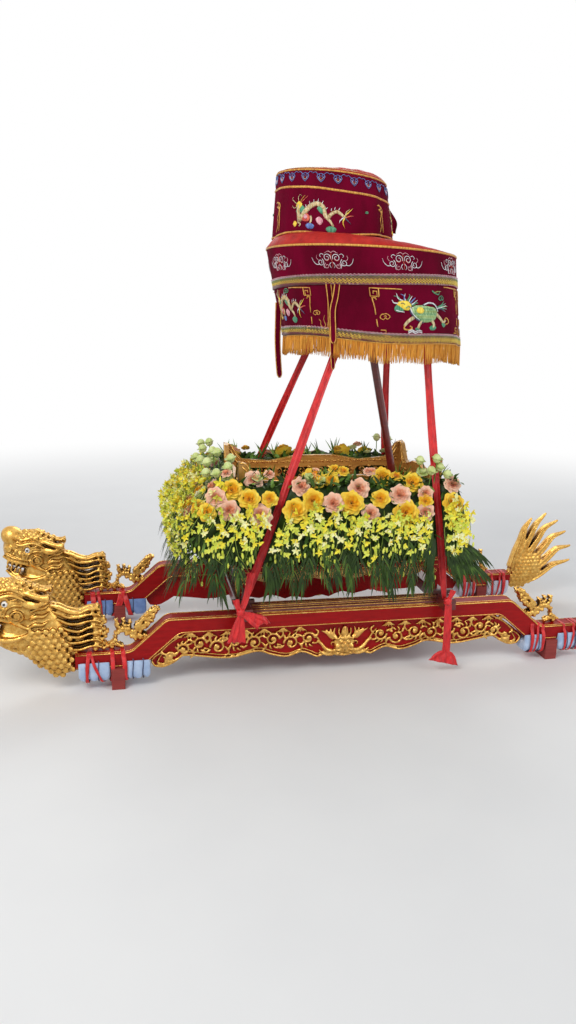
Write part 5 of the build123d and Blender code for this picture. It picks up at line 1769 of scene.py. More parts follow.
def petal(build, width, length, cup, curl, root, tilt, spin, number, across, along):
    """A cupped petal that leaves the flower's axis at a radius, tilted out, and curls at its rim."""
    verts = []
    for j in range(along + 1):
        t = j / along
        wide = width * min(1.0, 0.3 + 1.5 * t) * math.sqrt(max(0.02, 1 - (max(0.0, t - 0.5) / 0.51) ** 2))
        for i in range(across + 1):
            s = 2 * i / across - 1
            out = (root + cup * s * s * -0.5
                   + length * (math.sin(tilt) * t + curl * max(0, t - 0.55) ** 2 * 2.2))
            up = length * math.cos(tilt) * t - length * curl * max(0, t - 0.7) ** 2 * 1.4
            x, y, z = out, s * wide / 2, up
            verts.append((x * math.cos(spin) - y * math.sin(spin),
                          x * math.sin(spin) + y * math.cos(spin), z))
    build.add(verts, grid_faces(along, across), number)


def rose_petal(build, foot, rim, high, wrap, spin, flare, number, across, along):
    """A petal wrapped round the flower's axis from a foot radius to a rim radius, with a round edge."""
    verts = []
    for j in range(along + 1):
        t = j / along
        end = max(0.0, t - 0.72) / 0.285
        round_edge = min(1.0, 0.45 + 1.1 * t) * math.sqrt(max(0.05, 1 - end ** 2))
        for i in range(across + 1):
            s = 2 * i / across - 1
            angle = spin + wrap * s * round_edge
            radius = foot + (rim - foot) * math.sin(t * math.pi / 2) ** 1.2
            radius = radius + flare * max(0.0, t - 0.6) ** 2 * 2 - 0.020 * s * s
            height = high * t ** 0.8 - flare * max(0.0, t - 0.75) ** 2 * 3 - 0.02 * s * s * t
            verts.append((radius * math.cos(angle), radius * math.sin(angle), height))
    build.add(verts, grid_faces(along, across), number)


def make_rose(counts, opened, seed):
    """A rose 1 unit across, facing up its own z axis; inner petals have the second material."""
    made = Build()
    chance = random.Random(seed)
    total = len(counts)
    for ring, count in enumerate(counts):
        share = ring / (total - 1)
        offset = chance.uniform(0, 6)
        for k in range(count):
            spin = offset + 2 * math.pi * k / count + chance.uniform(-0.2, 0.2)
            rim = 0.05 + 0.45 * share ** (1.15 - 0.3 * opened) * chance.uniform(0.92, 1.05)
            high = 0.40 - (0.20 + 0.10 * opened) * share ** 1.8 + chance.uniform(-0.025, 0.025)
            wrap = min(1.5, math.pi / count * chance.uniform(1.5, 1.85))
            fine = (4, 4) if ring > total - 3 else (3, 4) if ring > 1 else (2, 3)
            flare = 0.06 + 0.16 * share * opened
            number = 0 if share > 0.4 else 1
            rose_petal(made, 0.02 + 0.07 * share, rim, high, wrap, spin, flare, number, *fine)
    return made


def make_blossom(seed):
    """An orchid blossom 1 unit across: three narrow and two broad spread petals, and a lip."""
    made = Build()
    chance = random.Random(seed)
    for k in range(5):
        spin = 2 * math.pi * k / 5 + chance.uniform(-0.12, 0.12)
        wide = 0.34 if k in (1, 4) else 0.22
        long, curl = chance.uniform(0.44, 0.58), chance.uniform(0.0, 0.35)
        petal(made, wide, long, 0.10, curl, 0.02, math.radians(chance.uniform(18, 92)), spin, 0, 2, 3)
    petal(made, 0.26, 0.30, -0.06, 0.25, 0.02, math.radians(35), math.pi, 1, 2, 2)
    return made


def leaf_blade(build, root, direction, droop, length, width, side, number, parts):
    """A blade that leaves its root in a direction and droops, folded along its rib."""
    verts = []
    point = Vector(root)
    heading = Vector(direction).normalized()
    step = length / parts
    for i in range(parts + 1):
        t = i / parts
        half = width / 2 * math.sin(math.pi * min(1.0, 0.12 + 0.88 * t) ** 0.9) if i < parts else 0.0004
        across = side - heading * side.dot(heading)
        across.normalize()
        lift = across.cross(heading) * (half * 0.25)
        verts += [point - across * half + lift, point, point + across * half + lift]
        heading = (heading + Vector((0, 0, -droop / parts))).normalized()
        point = point + heading * step
    faces = []
    for i in range(parts):
        a = i * 3
        faces += [(a, a + 1, a + 4, a + 3), (a + 1, a + 2, a + 5, a + 4)]
    build.add(verts, faces, number)


def make_petal_shade(name, deep, bright):
    shade = Shade(name, roughness=0.55, Subsurface_Weight=0.12, Sheen_Weight=0.15)
    shade.skin.inputs["Subsurface Radius"].default_value = (0.02, 0.012, 0.006)
    tone = shade.noise(40, 4)
    veins = shade.noise(300, 3, 0.5, shade.stretch((1, 1, 0.3)))
    colour = shade.mix(shade.ramp(tone, (0.3, 0.0), (0.7, 1.0)), deep, bright)
    shade.bump(veins, 0.0008, 0.4)
    return shade.finish(colour, shade.spread(tone, 0.45, 0.65))


def make_leaf_shade(name, deep, bright):
    shade = Shade(name, roughness=0.55, Coat_Weight=0.05, Coat_Roughness=0.4, Specular_IOR_Level=0.25)
    tone = shade.noise(18, 4)
    ribs = shade.noise(260, 2, 0.5, shade.stretch((1, 1, 0.2)))
    colour = shade.mix(shade.ramp(tone, (0.3, 0.0), (0.7, 1.0)), deep, bright)
    shade.bump(ribs, 0.0010, 0.5)
    return shade.finish(colour, shade.spread(tone, 0.35, 0.6))


ROSE_SHADES = [
    make_petal_shade("rose_yellow", (0.98, 0.56, 0.012), (1.0, 0.80, 0.08)),
    make_petal_shade("rose_yellow_heart", (0.98, 0.47, 0.006), (1.0, 0.64, 0.016)),
    make_petal_shade("rose_peach", (0.97, 0.53, 0.34), (1.0, 0.71, 0.53)),
    make_petal_shade("rose_peach_heart", (0.94, 0.38, 0.19), (0.99, 0.54, 0.33)),
    make_petal_shade("bud_green", (0.50, 0.60, 0.16), (0.80, 0.86, 0.42)),
    make_petal_shade("rose_cream", (0.80, 0.76, 0.42), (0.96, 0.94, 0.70)),
]
ORCHID_SHADES = [
    make_petal_shade("orchid_yellow", (0.86, 0.72, 0.015), (1.0, 0.90, 0.07)),
    make_petal_shade("orchid_lip", (0.86, 0.52, 0.01), (1.0, 0.72, 0.04)),
    make_petal_shade("orchid_green", (0.58, 0.66, 0.03), (0.86, 0.88, 0.14)),
    make_petal_shade("orchid_cream", (0.86, 0.84, 0.26), (1.0, 0.98, 0.55)),
    make_leaf_shade("orchid_stem", (0.16, 0.24, 0.03), (0.34, 0.44, 0.08)),
]
LEAF_SHADES = [
    make_leaf_shade("leaf_dark", (0.010, 0.026, 0.003), (0.030, 0.064, 0.006)),
    make_leaf_shade("leaf_mid", (0.026, 0.066, 0.006), (0.080, 0.155, 0.018)),
    make_leaf_shade("leaf_light", (0.09, 0.20, 0.03), (0.22, 0.38, 0.07)),
]


CORE_FRONT, CORE_REAR, CORE_SIDE = 0.4815, 0.49, 0.3015


def foliage_core():
    """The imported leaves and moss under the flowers, as a lumpy closed form inside the bank."""
    made = Build()
    columns, rows = 330, 14
    inset = 0.030
    grid = []
    for i in range(rows + 1):
        z = 0.520 + 0.335 * i / rows
        ring = []
        for k in range(columns + 1):
            point, out = bank_place(k / columns, z, inset)
            lump = 0.010 * math.sin(37 * k / columns * math.pi + 9 * z) * math.sin(60 * z + k * 0.14)
            ring.append(pressed(point + out * lump))
        grid.append(ring)
    for z in (0.855, 0.520):
        ring = []
        for k in range(columns + 1):
            point, out = bank_place(k / columns, z, inset)
            ring.append((max(-CORE_FRONT, min(CORE_REAR, point.x)),
                         max(-CORE_SIDE, min(CORE_SIDE, point.y)), z))
        grid.append(ring)
    count = columns + 1
    for ring in grid:
        made.verts += [tuple(p) for p in ring]
    levels = len(grid)
    for i in range(levels):
        j = (i + 1) % levels
        for k in range(columns):
            made.faces.append((i * count + k, i * count + k + 1, j * count + k + 1, j * count + k))
    made.faces.append(tuple(i * count for i in range(levels)))
    made.faces.append(tuple(i * count + columns for i in reversed(range(levels))))
    return made.plain()


def put(build, form, place, turn, size, first=0, second=None):
    """Sets a flower in place; its two materials become the numbers given, or two that follow."""
    numbers = (first, first + 1 if second is None else second)
    matrix = Matrix.Translation(place) @ (turn.to_4x4() @ Matrix.Scale(size, 4))
    base = len(build.verts)
    build.verts += [tuple(matrix @ Vector(v)) for v in form.verts]
    build.faces += [tuple(base + i for i in face) for face in form.faces]
    build.numbers += [numbers[n] for n in form.numbers]


# Roses of the two long sides: x, z and width in metres, and the kind, 0 yellow or 2 peach
NEAR_ROSES = [(-0.35, 0.735, 0.088, 2), (-0.53, 0.760, 0.080, 2), (-0.58, 0.810, 0.078, 2),
              (-0.08, 0.775, 0.084, 2), (0.08, 0.730, 0.076, 2), (0.04, 0.830, 0.082, 2),
              (0.22, 0.800, 0.084, 2), (-0.26, 0.840, 0.076, 2), (-0.41, 0.865, 0.074, 2),
              (0.33, 0.730, 0.072, 2), (0.41, 0.805, 0.064, 2), (-0.51, 0.835, 0.086, 0),
              (-0.44, 0.800, 0.084, 0), (-0.26, 0.750, 0.096, 0), (-0.17, 0.790, 0.088, 0),
              (-0.15, 0.865, 0.092, 0), (-0.07, 0.860, 0.062, 0), (0.00, 0.775, 0.098, 0),
              (0.16, 0.865, 0.084, 0), (0.24, 0.730, 0.100, 0), (0.29, 0.845, 0.086, 0),
              (0.46, 0.760, 0.088, 0), (0.13, 0.790, 0.074, 0), (0.47, 0.835, 0.070, 2),
              (0.48, 0.690, 0.070, 0), (0.335, 0.775, 0.060, 0), (-0.33, 0.800, 0.064, 0),
              (-0.62, 0.755, 0.070, 0),]
rose_forms = [make_rose((3, 4, 5, 6, 7, 7), 0.8, seed) for seed in (1, 2, 3)]
peach_forms = [make_rose((3, 4, 5, 6, 7, 8, 8), 0.55, seed) for seed in (4, 5)]
bud_form = make_rose((3, 4, 5), 0.0, 6)


def rose_place(x, z, hand):
    """Where a rose sits on the near or far side of the bank."""
    side = bank_size(min(z, 0.87))[2]
    y = hand * (side - 0.012 - max(0.0, z - 0.83) * 0.9)
    return Vector((x, y, z + 0.01)), Vector((0, hand, 0))


def aside(point, clear):
    """Moves a flower along the bank until the ribbon is clear of it."""
    step = 0.012 if point.x > 0.43 or -0.33 < point.x < 0.2 else -0.012
    for _ in range(9):
        if ribbon_distance(point) < clear:
            point.x += step
    return point


roses = Build()
for hand in (-1, 1):
    for x, z, size, kind in NEAR_ROSES:
        point, out = rose_place(x, z, hand)
        point = aside(point, RIBBON_HALF + size * 0.44)
        form = rng.choice(peach_forms if kind else rose_forms)
        out = (out + Vector((rng.uniform(-0.25, 0.15), 0, 0))).normalized()
        put(roses, form, point, facing(out, 0.30 + rng.uniform(-0.08, 0.1), rng.uniform(0, 6)),
            size * 1.10, kind)
for k in range(34):
    share = 0.375 + 0.25 * k / 33
    z = (0.77, 0.85, 0.81, 0.74)[k % 4]
    point, out = bank_place(share, z, 0.008)
    kind = (0, 2, 5, 2, 0, 5, 0)[k % 7]
    form = rng.choice(rose_forms if kind == 0 else peach_forms)
    shift = {0: 0, 2: 2, 5: 4}[kind]
    if ribbon_distance(point) > 0.06:
        put(roses, form, point, facing(out, 0.35, rng.uniform(0, 6)), rng.uniform(0.062, 0.084), shift)
for k in range(46):
    share = rng.uniform(0.0, 1.0)
    point, out = bank_place(share, 0.87, rng.uniform(0.0, 0.06))
    point.z = rng.uniform(0.870, 0.915)
    if ribbon_distance(point) < 0.045 or point.x > 0.48:
        continue
    kind = rng.choice((0, 2, 4, 4))
    form = bud_form if kind == 4 else rng.choice(rose_forms)
    put(roses, form, point, facing(out, 0.6, rng.uniform(0, 6)), rng.uniform(0.040, 0.058), kind)
BUDS = ((0.33, -0.36, 0.945), (0.40, -0.38, 0.955), (0.42, -0.37, 0.915), (0.37, -0.40, 0.905),
        (0.45, -0.39, 0.885), (-0.50, -0.28, 0.955), (-0.55, -0.20, 0.97), (-0.60, -0.25, 0.935),
        (-0.56, -0.10, 0.96), (-0.52, -0.34, 0.93), (-0.62, -0.16, 0.93), (-0.63, -0.05, 0.925),
        (-0.57, -0.35, 0.905), (-0.61, -0.31, 0.90), (-0.59, 0.06, 0.945), (0.36, 0.38, 0.94),
        (0.42, 0.37, 0.93), (-0.55, 0.16, 0.96), (-0.58, 0.26, 0.94))
bud_stems = []
for x, y, z in BUDS:
    put(roses, bud_form, (x, y, z), facing(Vector((x, y, 0)).normalized(), 0.8, rng.uniform(0, 6)), 0.054,
        4)
    ball(roses, (x, y, z + 0.008), (0.019, 0.019, 0.021), 12, 8, number=4)
    bud_stems.append(((x, y, z), (x * 0.985, y * 0.985, 0.848)))

blossoms = [make_blossom(seed) for seed in range(9)]
orchids = Build()


def spray(share, start_z, length, count, lean):
    """A hanging stem of blossoms that ends in green buds."""
    point, out = bank_place(share, start_z, 0.012)
    if point.x > 0.515:
        return
    along = Vector((out.y, -out.x, 0)) * (1 if rng.random() < 0.5 else -1)
    path = []
    for i in range(7):
        t = i / 6
        z = start_z - length * t
        base, _ = bank_place(share, max(z, 0.53), -0.012)
        swing = 0.030 * math.sin(math.pi * t) + 0.006
        path.append(Vector((base.x, base.y, z)) + out * swing + along * (lean * t * t))
    clear = [ribbon_distance(p) > 0.022 for p in path]
    for first in range(6):
        if clear[first] and clear[first + 1]:
            ridge(orchids, path[first:first + 2], out, 0.0028, 0.0014, 4, 4)
    for i in range(count):
        t = (i + 0.5) / count
        k = min(int(t * 6), 5)
        place = path[k].lerp(path[k + 1], t * 6 - k)
        side = along * (0.016 if i % 2 else -0.016)
        place = place + side + out * rng.uniform(0.000, 0.012)
        if ribbon_distance(place) < 0.025 or (0.45 < t < 0.66 and rng.random() < 0.35):
            continue
        if t > 0.66:
            ball(orchids, place, (0.0052, 0.0052, 0.0125), 6, 4, number=2)
            continue
        size = 0.047 * (1 - 0.34 * t) * rng.uniform(0.75, 1.25)
        shift = rng.choice((0, 0, 2, 2, 3)) if t < 0.7 else 2
        turn = facing((out + along * rng.uniform(-0.9, 0.9)).normalized(), rng.uniform(-0.35, 0.35),
                      rng.uniform(0, 6))
        form = rng.choice(blossoms)
        put(orchids, form, place, turn, size, shift, 1)


for k in range(SPRAYS):
    share = (k + rng.uniform(0.1, 0.9)) / SPRAYS
    front_part = 0.35 < share < 0.65
    start = rng.uniform(0.66, 0.80) if k % 2 else rng.uniform(0.72, 0.84 if front_part else 0.78)
    spray(share, start, rng.uniform(0.13, 0.29) + (0.03 if front_part else 0), rng.choice((8, 9, 10, 12)),
          rng.uniform(0.0, 0.06))
for k in range(16):
    share = (0.001 + 0.022 * rng.random()) if k % 2 else (0.999 - 0.022 * rng.random())
    spray(share, rng.uniform(0.66, 0.84), rng.uniform(0.16, 0.26), 10, rng.uniform(0.0, 0.02))
for k in range(26):
    share = rng.uniform(0.36, 0.64)
    spray(share, rng.uniform(0.82, 0.89), rng.uniform(0.14, 0.24), 9, rng.uniform(0.0, 0.05))

greens = Build()
greens.join(foliage_core())
for head, foot in bud_stems:
    path = smooth_path([foot, tuple((a + b) / 2 + 0.004 for a, b in zip(head, foot)), head], 4)
    ridge(greens, path, (0, -1, 0), 0.0045, 0.0030, 2, 6)
for k in range(SIDE_LEAVES):
    share = rng.random()
    z = rng.uniform(0.53, 0.86)
    point, out = bank_place(share, z, 0.034)
    if point.x > 0.50 or ribbon_distance(point + out * 0.03) < 0.030:
        continue
    side = Vector((out.y, -out.x, 0))
    heading = out + side * rng.uniform(-0.8, 0.8) + Vector((0, 0, rng.uniform(-0.9, 0.6)))
    leaf_blade(greens, point, heading, rng.uniform(0.3, 1.1), rng.uniform(0.040, 0.075),
               rng.uniform(0.012, 0.022), side, rng.choice((0, 0, 1, 1, 2)), 3)


def palm(share, z, count, length, lean=0.0, reach=0.35):
    """A feather-like leaf that hangs from the bank's foot, with leaflets on both sides of its stalk."""
    point, out = bank_place(share, z, 0.004)
    if point.x > 0.51:
        return
    side = Vector((out.y, -out.x, 0))
    heading = (out * reach + side * lean + Vector((0, 0, -0.75))).normalized()
    length = min(length, (point.z - 0.358) / max(0.3, -heading.z))
    for i in range(count):
        t = i / (count - 1)
        root = point + heading * (length * 0.62 * t) + Vector((0, 0, -0.02 * t * t))
        for hand in (-1, 1):
            leaflet = (heading * (0.75 + 0.5 * t) + side * (hand * (0.62 - 0.34 * t))
                       + out * rng.uniform(-0.05, 0.22)).normalized()
            long = length * (0.50 - 0.08 * t) * rng.uniform(0.85, 1.15)
            long = min(long, max(0.02, (root.z - 0.352) / max(0.3, -leaflet.z)))
            tip = root + leaflet * long
            if min(ribbon_distance(root.lerp(tip, s / 4)) for s in range(5)) < 0.022:
                continue
            if 0.37 < abs(tip.x) < 0.55 and abs(abs(tip.y) - 0.39) < 0.05 and tip.z < 0.53:
                continue
            leaf_blade(greens, root, leaflet, 0.7, long, rng.uniform(0.0060, 0.0105), side,
                       0 if rng.random() < 0.72 else 1, 5)


for k in range(LOW_PALMS):
    palm((k + 0.5) / LOW_PALMS + rng.uniform(-0.008, 0.008), rng.uniform(0.545, 0.60),
         rng.choice((6, 7, 8)), rng.uniform(0.15, 0.23), rng.uniform(-0.35, 0.35),
         rng.uniform(0.15, 0.50))
for k in range(HIGH_PALMS):
    palm((k + 0.5) / HIGH_PALMS + rng.uniform(-0.010, 0.010), rng.uniform(0.60, 0.68), rng.choice((5, 6)),
         rng.uniform(0.12, 0.20), rng.uniform(-0.4, 0.4), rng.uniform(0.2, 0.5))
for k in range(10):
    share = 0.012 + 0.006 * k
    for at, way in ((share, -1), (1 - share, 1)):
        palm(at, 0.57 + 0.012 * k, 8, 0.24, way * (1.15 - 0.10 * k), 0.30)
        palm(at, 0.62 + 0.010 * k, 7, 0.20, way * (1.35 - 0.12 * k), 0.25)
for k in range(TOP_LEAVES):
    share = rng.random()
    point, out = bank_place(share, 0.86, rng.uniform(-0.01, 0.075))
    point.z = 0.852
    if ribbon_distance(point) < 0.034:
        continue
    side = Vector((out.y, -out.x, 0))
    heading = out * rng.uniform(-0.3, 1.0) + side * rng.uniform(-0.8,
            0.8) + Vector((0, 0, rng.uniform(0.4, 1.0)))
    leaf_blade(greens, point, heading, rng.uniform(0.4, 1.2), rng.uniform(0.035, 0.060),
               rng.uniform(0.012, 0.020), side, rng.choice((0, 0, 1, 1, 2)), 3)
for k in range(REAR_LEAVES):
    point = Vector((rng.uniform(0.455, 0.50), rng.choice((-1, 1)) * rng.uniform(0.31, 0.43),
                    rng.uniform(0.53, 0.86)))
    side = Vector((0, 1, 0))
    leaf_blade(greens, point, (1, rng.uniform(-0.8, 0.8), rng.uniform(-0.8, 0.5)), rng.uniform(0.3, 1.1),
               rng.uniform(0.040, 0.065), rng.uniform(0.012, 0.020), side, rng.choice((0, 0, 1, 2)), 3)
for k in range(40):
    share = rng.uniform(0.0, 1.0)
    point, out = bank_place(share, 0.87, rng.uniform(0.03, 0.06))
    if ribbon_distance(point) < 0.05:
        continue
    for i in range(4):
        heading = Vector((rng.uniform(-0.5, 0.5), rng.uniform(-0.5, 0.5), 1)) + out * 0.4
        leaf_blade(greens, point, heading, 0.4, rng.uniform(0.05, 0.09), 0.006,
                   Vector((out.y, -out.x, 0)), rng.choice((1, 2)), 4)

HOLD_START, HOLD_LIMIT = 0.494, 0.521


def held_in(build):
    """Draws in what hangs past the bank at the sides, the more the further out it is."""
    room = HOLD_LIMIT - HOLD_START
    for i, (x, y, z) in enumerate(build.verts):
        past = abs(y) - HOLD_START
        if past > 0:
            build.verts[i] = (x, math.copysign(HOLD_START + room * (1 - math.exp(-past / room)), y), z)


for bank in (roses, orchids, greens):
    held_in(bank)
roses.piece("roses", ROSE_SHADES, "flowers", ["flowers_near"])
orchids.piece("orchids", ORCHID_SHADES, "flowers", ["flowers_front"])
greens.piece("leaves", LEAF_SHADES, "flowers", ["flowers_far"])


# Shoulder pads: cushions folded up round the poles' undersides, blown up by a cloth run
PAD_LOW, PAD_HIGH = 0.0292, 0.1316
PAD_HALF = 0.0552
PAD_VOXEL = 0.0055
END_ROUND = 0.026
PAD_SEAT = 0.0944
CLOTH_FRAMES = 20
CHANNEL = POLE_HALF + 0.0009


def lobed(low, high, waists):
    """A tied cushion along x under the near pole, before it is blown up."""
    made = Build()
    rows = 44
    section = [(-0.0515, 0.120, 1), (-0.0535, 0.104, 1), (-0.0535, 0.086, 1), (-0.0525, 0.064, 1),
               (-0.047, 0.045, 1), (-0.035, 0.035, 1), (-0.018, 0.0322, 1), (0.0, 0.0318, 1),
               (0.018, 0.0322, 1), (0.035, 0.035, 1), (0.047, 0.045, 1), (0.0525, 0.064, 1),
               (0.0535, 0.086, 1), (0.0535, 0.104, 1), (0.0515, 0.120, 1), (0.0465, 0.1275, 1),
               (0.0410, 0.122, 0.2), (0.0395, 0.108, 0), (0.0395, 0.0945, 0), (0.020, 0.0940, 0),
               (0.0, 0.0940, 0), (-0.020, 0.0940, 0), (-0.0395, 0.0945, 0), (-0.0395, 0.108, 0),
               (-0.0410, 0.122, 0.2), (-0.0465, 0.1275, 1)]
    columns = len(section)
    verts = []
    for row in range(rows + 1):
        share = row / rows
        x = low + 0.004 + (high - low - 0.008) * (0.5 - 0.5 * math.cos(math.pi * share))
        end = min(x - low, high - x)
        full = max(0.0, 2 * END_ROUND * end - end * end) ** 0.5 / END_ROUND if end < END_ROUND else 1.0
        for place, depth in waists:
            full *= 1 - depth * math.exp(-((x - place) / 0.008) ** 2)
        full = max(full, 0.25)
        for y, z, free in section:
            anchor_y, anchor_z = max(-0.0395, min(0.0395, y)), max(0.0945, min(0.118, z))
            if free:
                y = anchor_y + (y - anchor_y) * (0.35 + 0.65 * full)
                z = anchor_z + (z - anchor_z) * (0.30 + 0.70 * full)
            verts.append((x, -POLE_Y + y, z))
    faces = [tuple(range(columns)), tuple(reversed(range(rows * columns, (rows + 1) * columns)))]
    for row in range(rows):
        for column in range(columns):
            after = (column + 1) % columns
            a, b = row * columns, (row + 1) * columns
            faces.append((a + column, b + column, b + after, a + after))
    made.add(verts, faces)
    return made


def puffed(form, waists, cap, low, high):
    """A cushion swelled by its pressure, with its ties and its top held, and kept within a box."""
    mesh = merged(form, PAD_VOXEL).mesh("cushion")
    thing = placed("cushion", mesh)
    start = [v.co.copy() for v in mesh.vertices]
    moved = start
    held = thing.vertex_groups.new(name="held")
    for i, p in enumerate(start):
        inner = p.z > 0.091 and abs(p.y + POLE_Y) < 0.0415
        if inner or any(abs(p.x - place) < 0.005 for place, _ in waists):
            held.add([i], 1.0, "REPLACE")
    cloth = thing.modifiers.new("cloth", "CLOTH")
    cloth.settings.use_pressure = True
    cloth.settings.uniform_pressure_force = 4.0
    cloth.settings.effector_weights.gravity = 0.0
    cloth.settings.vertex_group_mass = "held"
    cloth.settings.quality = 6
    cloth.point_cache.frame_start, cloth.point_cache.frame_end = 1, CLOTH_FRAMES
    for frame_number in range(1, CLOTH_FRAMES + 1):
        bpy.context.scene.frame_set(frame_number)
    result = thing.evaluated_get(bpy.context.evaluated_depsgraph_get()).to_mesh()
    moved = [v.co.copy() for v in result.vertices]
    thing.modifiers.remove(cloth)
    bpy.context.scene.frame_set(1)
    for vertex, a, b in zip(mesh.vertices, start, moved):
        step = b - a
        if step.length > cap:
            step = step * (cap / step.length)
        p = a + step
        p = Vector(max(l, min(h, c)) for c, l, h in zip(p, low, high))
        if p.z > PAD_SEAT and abs(p.y + POLE_Y) < CHANNEL:
            if abs(a.y + POLE_Y) < 0.036:
                p = Vector((p.x, a.y, PAD_SEAT))
            else:
                p.y = -POLE_Y + math.copysign(CHANNEL, a.y + POLE_Y)
        vertex.co = p
    bpy.data.objects.remove(thing)
    return rebuilt(mesh)


pads_low, pads_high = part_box("shoulder_pads_front")
OUTER = (pads_low.x, pads_low.x + 0.1397)
INNER = (pads_high.x - 0.112, pads_high.x)
CUSHIONS = {
    "near": ((OUTER, ((-1.126, 0.42), (-1.084, 0.20))), (INNER, ((-0.898, 0.40), (-0.940, 0.25)))),
    "far": ((OUTER, ((-1.125, 0.36), (-1.075, 0.40))), (INNER, ((-0.935, 0.42),)))}


def wrap(made, top_x, low_x, width, over, lean):
    """A flat ribbon once round the pole's low end and the pad: over is how high it goes."""
    ring = [(0.0, over + 0.0012), (-0.030, over + 0.0014), (-0.0398, over - 0.003),
            (-0.0405, over - 0.020), (-0.0500, 0.1305), (-0.0562, 0.115), (-0.0566, 0.085),
            (-0.0545, 0.058), (-0.0455, 0.038), (-0.026, 0.0284), (0.0, 0.0272)]
    ring = ring + [(-y, z) for y, z in reversed(ring[1:-1])]
    path, normals = [], []
    for y, z in smooth_path(ring, 4, True):
        share = (over - z) / (over - PAD_LOW)
        path.append((top_x + (low_x - top_x) * share + lean * y / 0.04, -POLE_Y + y, z))
        normals.append((0, y / 0.056, (z - 0.10) / 0.08 if z > 0.15 or z < 0.05 else 0.0))
    widths = [width * (1 - 0.3 * math.exp(-((p[2] - 0.062) / 0.02) ** 2)) for p in path]
    ridge(made, path, normals, widths, 0.0011, 0, 8, True)


def wrinkled(path, across, widths, waves=3.0, depth=0.003, thickness=0.0008, columns=20, drift=0.6):
    """A gathered ribbon along a path, with folds along its length."""
    made = Build()
    path = [Vector(p) for p in path]
    count = len(path)
    for i, point in enumerate(path):
        along = (path[min(i + 1, count - 1)] - path[max(i - 1, 0)]).normalized()
        side = Vector(across[i] if isinstance(across, list) else across)
        side = (side - along * side.dot(along)).normalized()
        normal = side.cross(along)
        share = i / (count - 1)
        fold = depth[i] if isinstance(depth, list) else depth
        for face in (1, -1):
            for k in range(columns + 1):
                u = k / columns
                ripple = (math.sin(2 * math.pi * waves * u + drift * 9 * share)
                          + 0.5 * math.sin(2 * math.pi * (waves * 1.7) * u - drift * 7 * share))
                made.verts.append(tuple(point + side * ((u - 0.5) * widths[i])
                                        + normal * (fold * ripple * 0.66 + face * thickness)))
    row = 2 * (columns + 1)
    for i in range(count - 1):
        for face in (0, 1):
            for k in range(columns):
                a = i * row + face * (columns + 1) + k
                quad = (a, a + 1, a + 1 + row, a + row)
                made.faces.append(quad if face == 0 else tuple(reversed(quad)))
        for k in (0, columns):
            a = i * row + k
            b = a + columns + 1
            quad = (a, a + row, b + row, b)
            made.faces.append(quad if k == 0 else tuple(reversed(quad)))
    for i in (0, count - 1):
        for k in range(columns):
            a = i * row + k
            b = a + columns + 1
            quad = (a, b, b + 1, a + 1)
            made.faces.append(quad if i == 0 else tuple(reversed(quad)))
    return made.plain()


def pad_set(kind):
    """The two cushions of the front end of the near pole, with their seams."""
    made = Build()
    for (low, high), waists in CUSHIONS[kind]:
        made.join(puffed(lobed(low, high, waists), waists, 0.006,
                         (low, -POLE_Y - PAD_HALF, PAD_LOW), (high, -POLE_Y + PAD_HALF, PAD_HIGH)))
    return made


def ties(kind):
    """Thin dark cords round the waists."""
    made = Build()
    for _, waists in CUSHIONS[kind]:
        for place, depth in waists:
            full = 1 - 0.6 * depth
            side_y = 0.0430 + 0.0125 * full
            half = [(0.0405, 0.1285), (0.0440 + 0.006 * full, 0.1285), (side_y, 0.108), (side_y, 0.085),
                    (0.0400 + 0.0120 * full, 0.062), (0.034 + 0.008 * full, 0.052 - 0.014 * full),
                    (0.018, 0.050 - 0.0205 * full)]
            line = [(-y, z) for y, z in half] + [(0.0, 0.050 - 0.021 * full)] + list(reversed(half))
            flat = smooth_path(line, 4)
            path = [(place + 0.002 * math.sin(0.3 * i), -POLE_Y + y, z) for i, (y, z) in enumerate(flat)]
            normals = [(0, y / 0.05, (z - 0.09) / 0.06) for y, z in flat]
            ridge(made, path, normals, 0.0042, 0.0022, 0, 6)
    return made


near_pads, far_pads = pad_set("near"), pad_set("far")
near_ties, far_ties = ties("near"), ties("far")
# Ribbons round a pad: x at the top, x at the bottom, the width, how high it goes and its lean
NEAR_WRAPS = (
    (-1.120, -1.128, 0.016, LOW_TOP, 0.004), (-1.112, -1.062, 0.013, LOW_TOP, 0.004),
    (-0.976, -0.966, 0.013, LOW_TOP, 0.004), (-1.030, -1.034, 0.018, LOW_TOP, -0.006),
    (-0.985, -0.978, 0.020, LOW_TOP, -0.006))
FAR_WRAPS = (
    (-1.140, -1.130, 0.028, LOW_TOP, 0.004), (-1.112, -1.098, 0.018, LOW_TOP, 0.004),
    (-0.990, -1.034, 0.034, LOW_TOP, 0.004), (-0.985, -0.950, 0.028, LOW_TOP, 0.004))
REAR_WRAPS = (
    (-1.140, -1.134, 0.020, LOW_TOP, 0.002), (-1.118, -1.096, 0.012, LOW_TOP, 0.002),
    (-1.066, -1.072, 0.014, LOW_TOP, 0.002), (-0.958, -0.955, 0.018, LOW_TOP, 0.002),
    (-0.935, -0.915, 0.012, 0.176, 0.002), (-0.902, -0.899, 0.018, 0.176, 0.002))
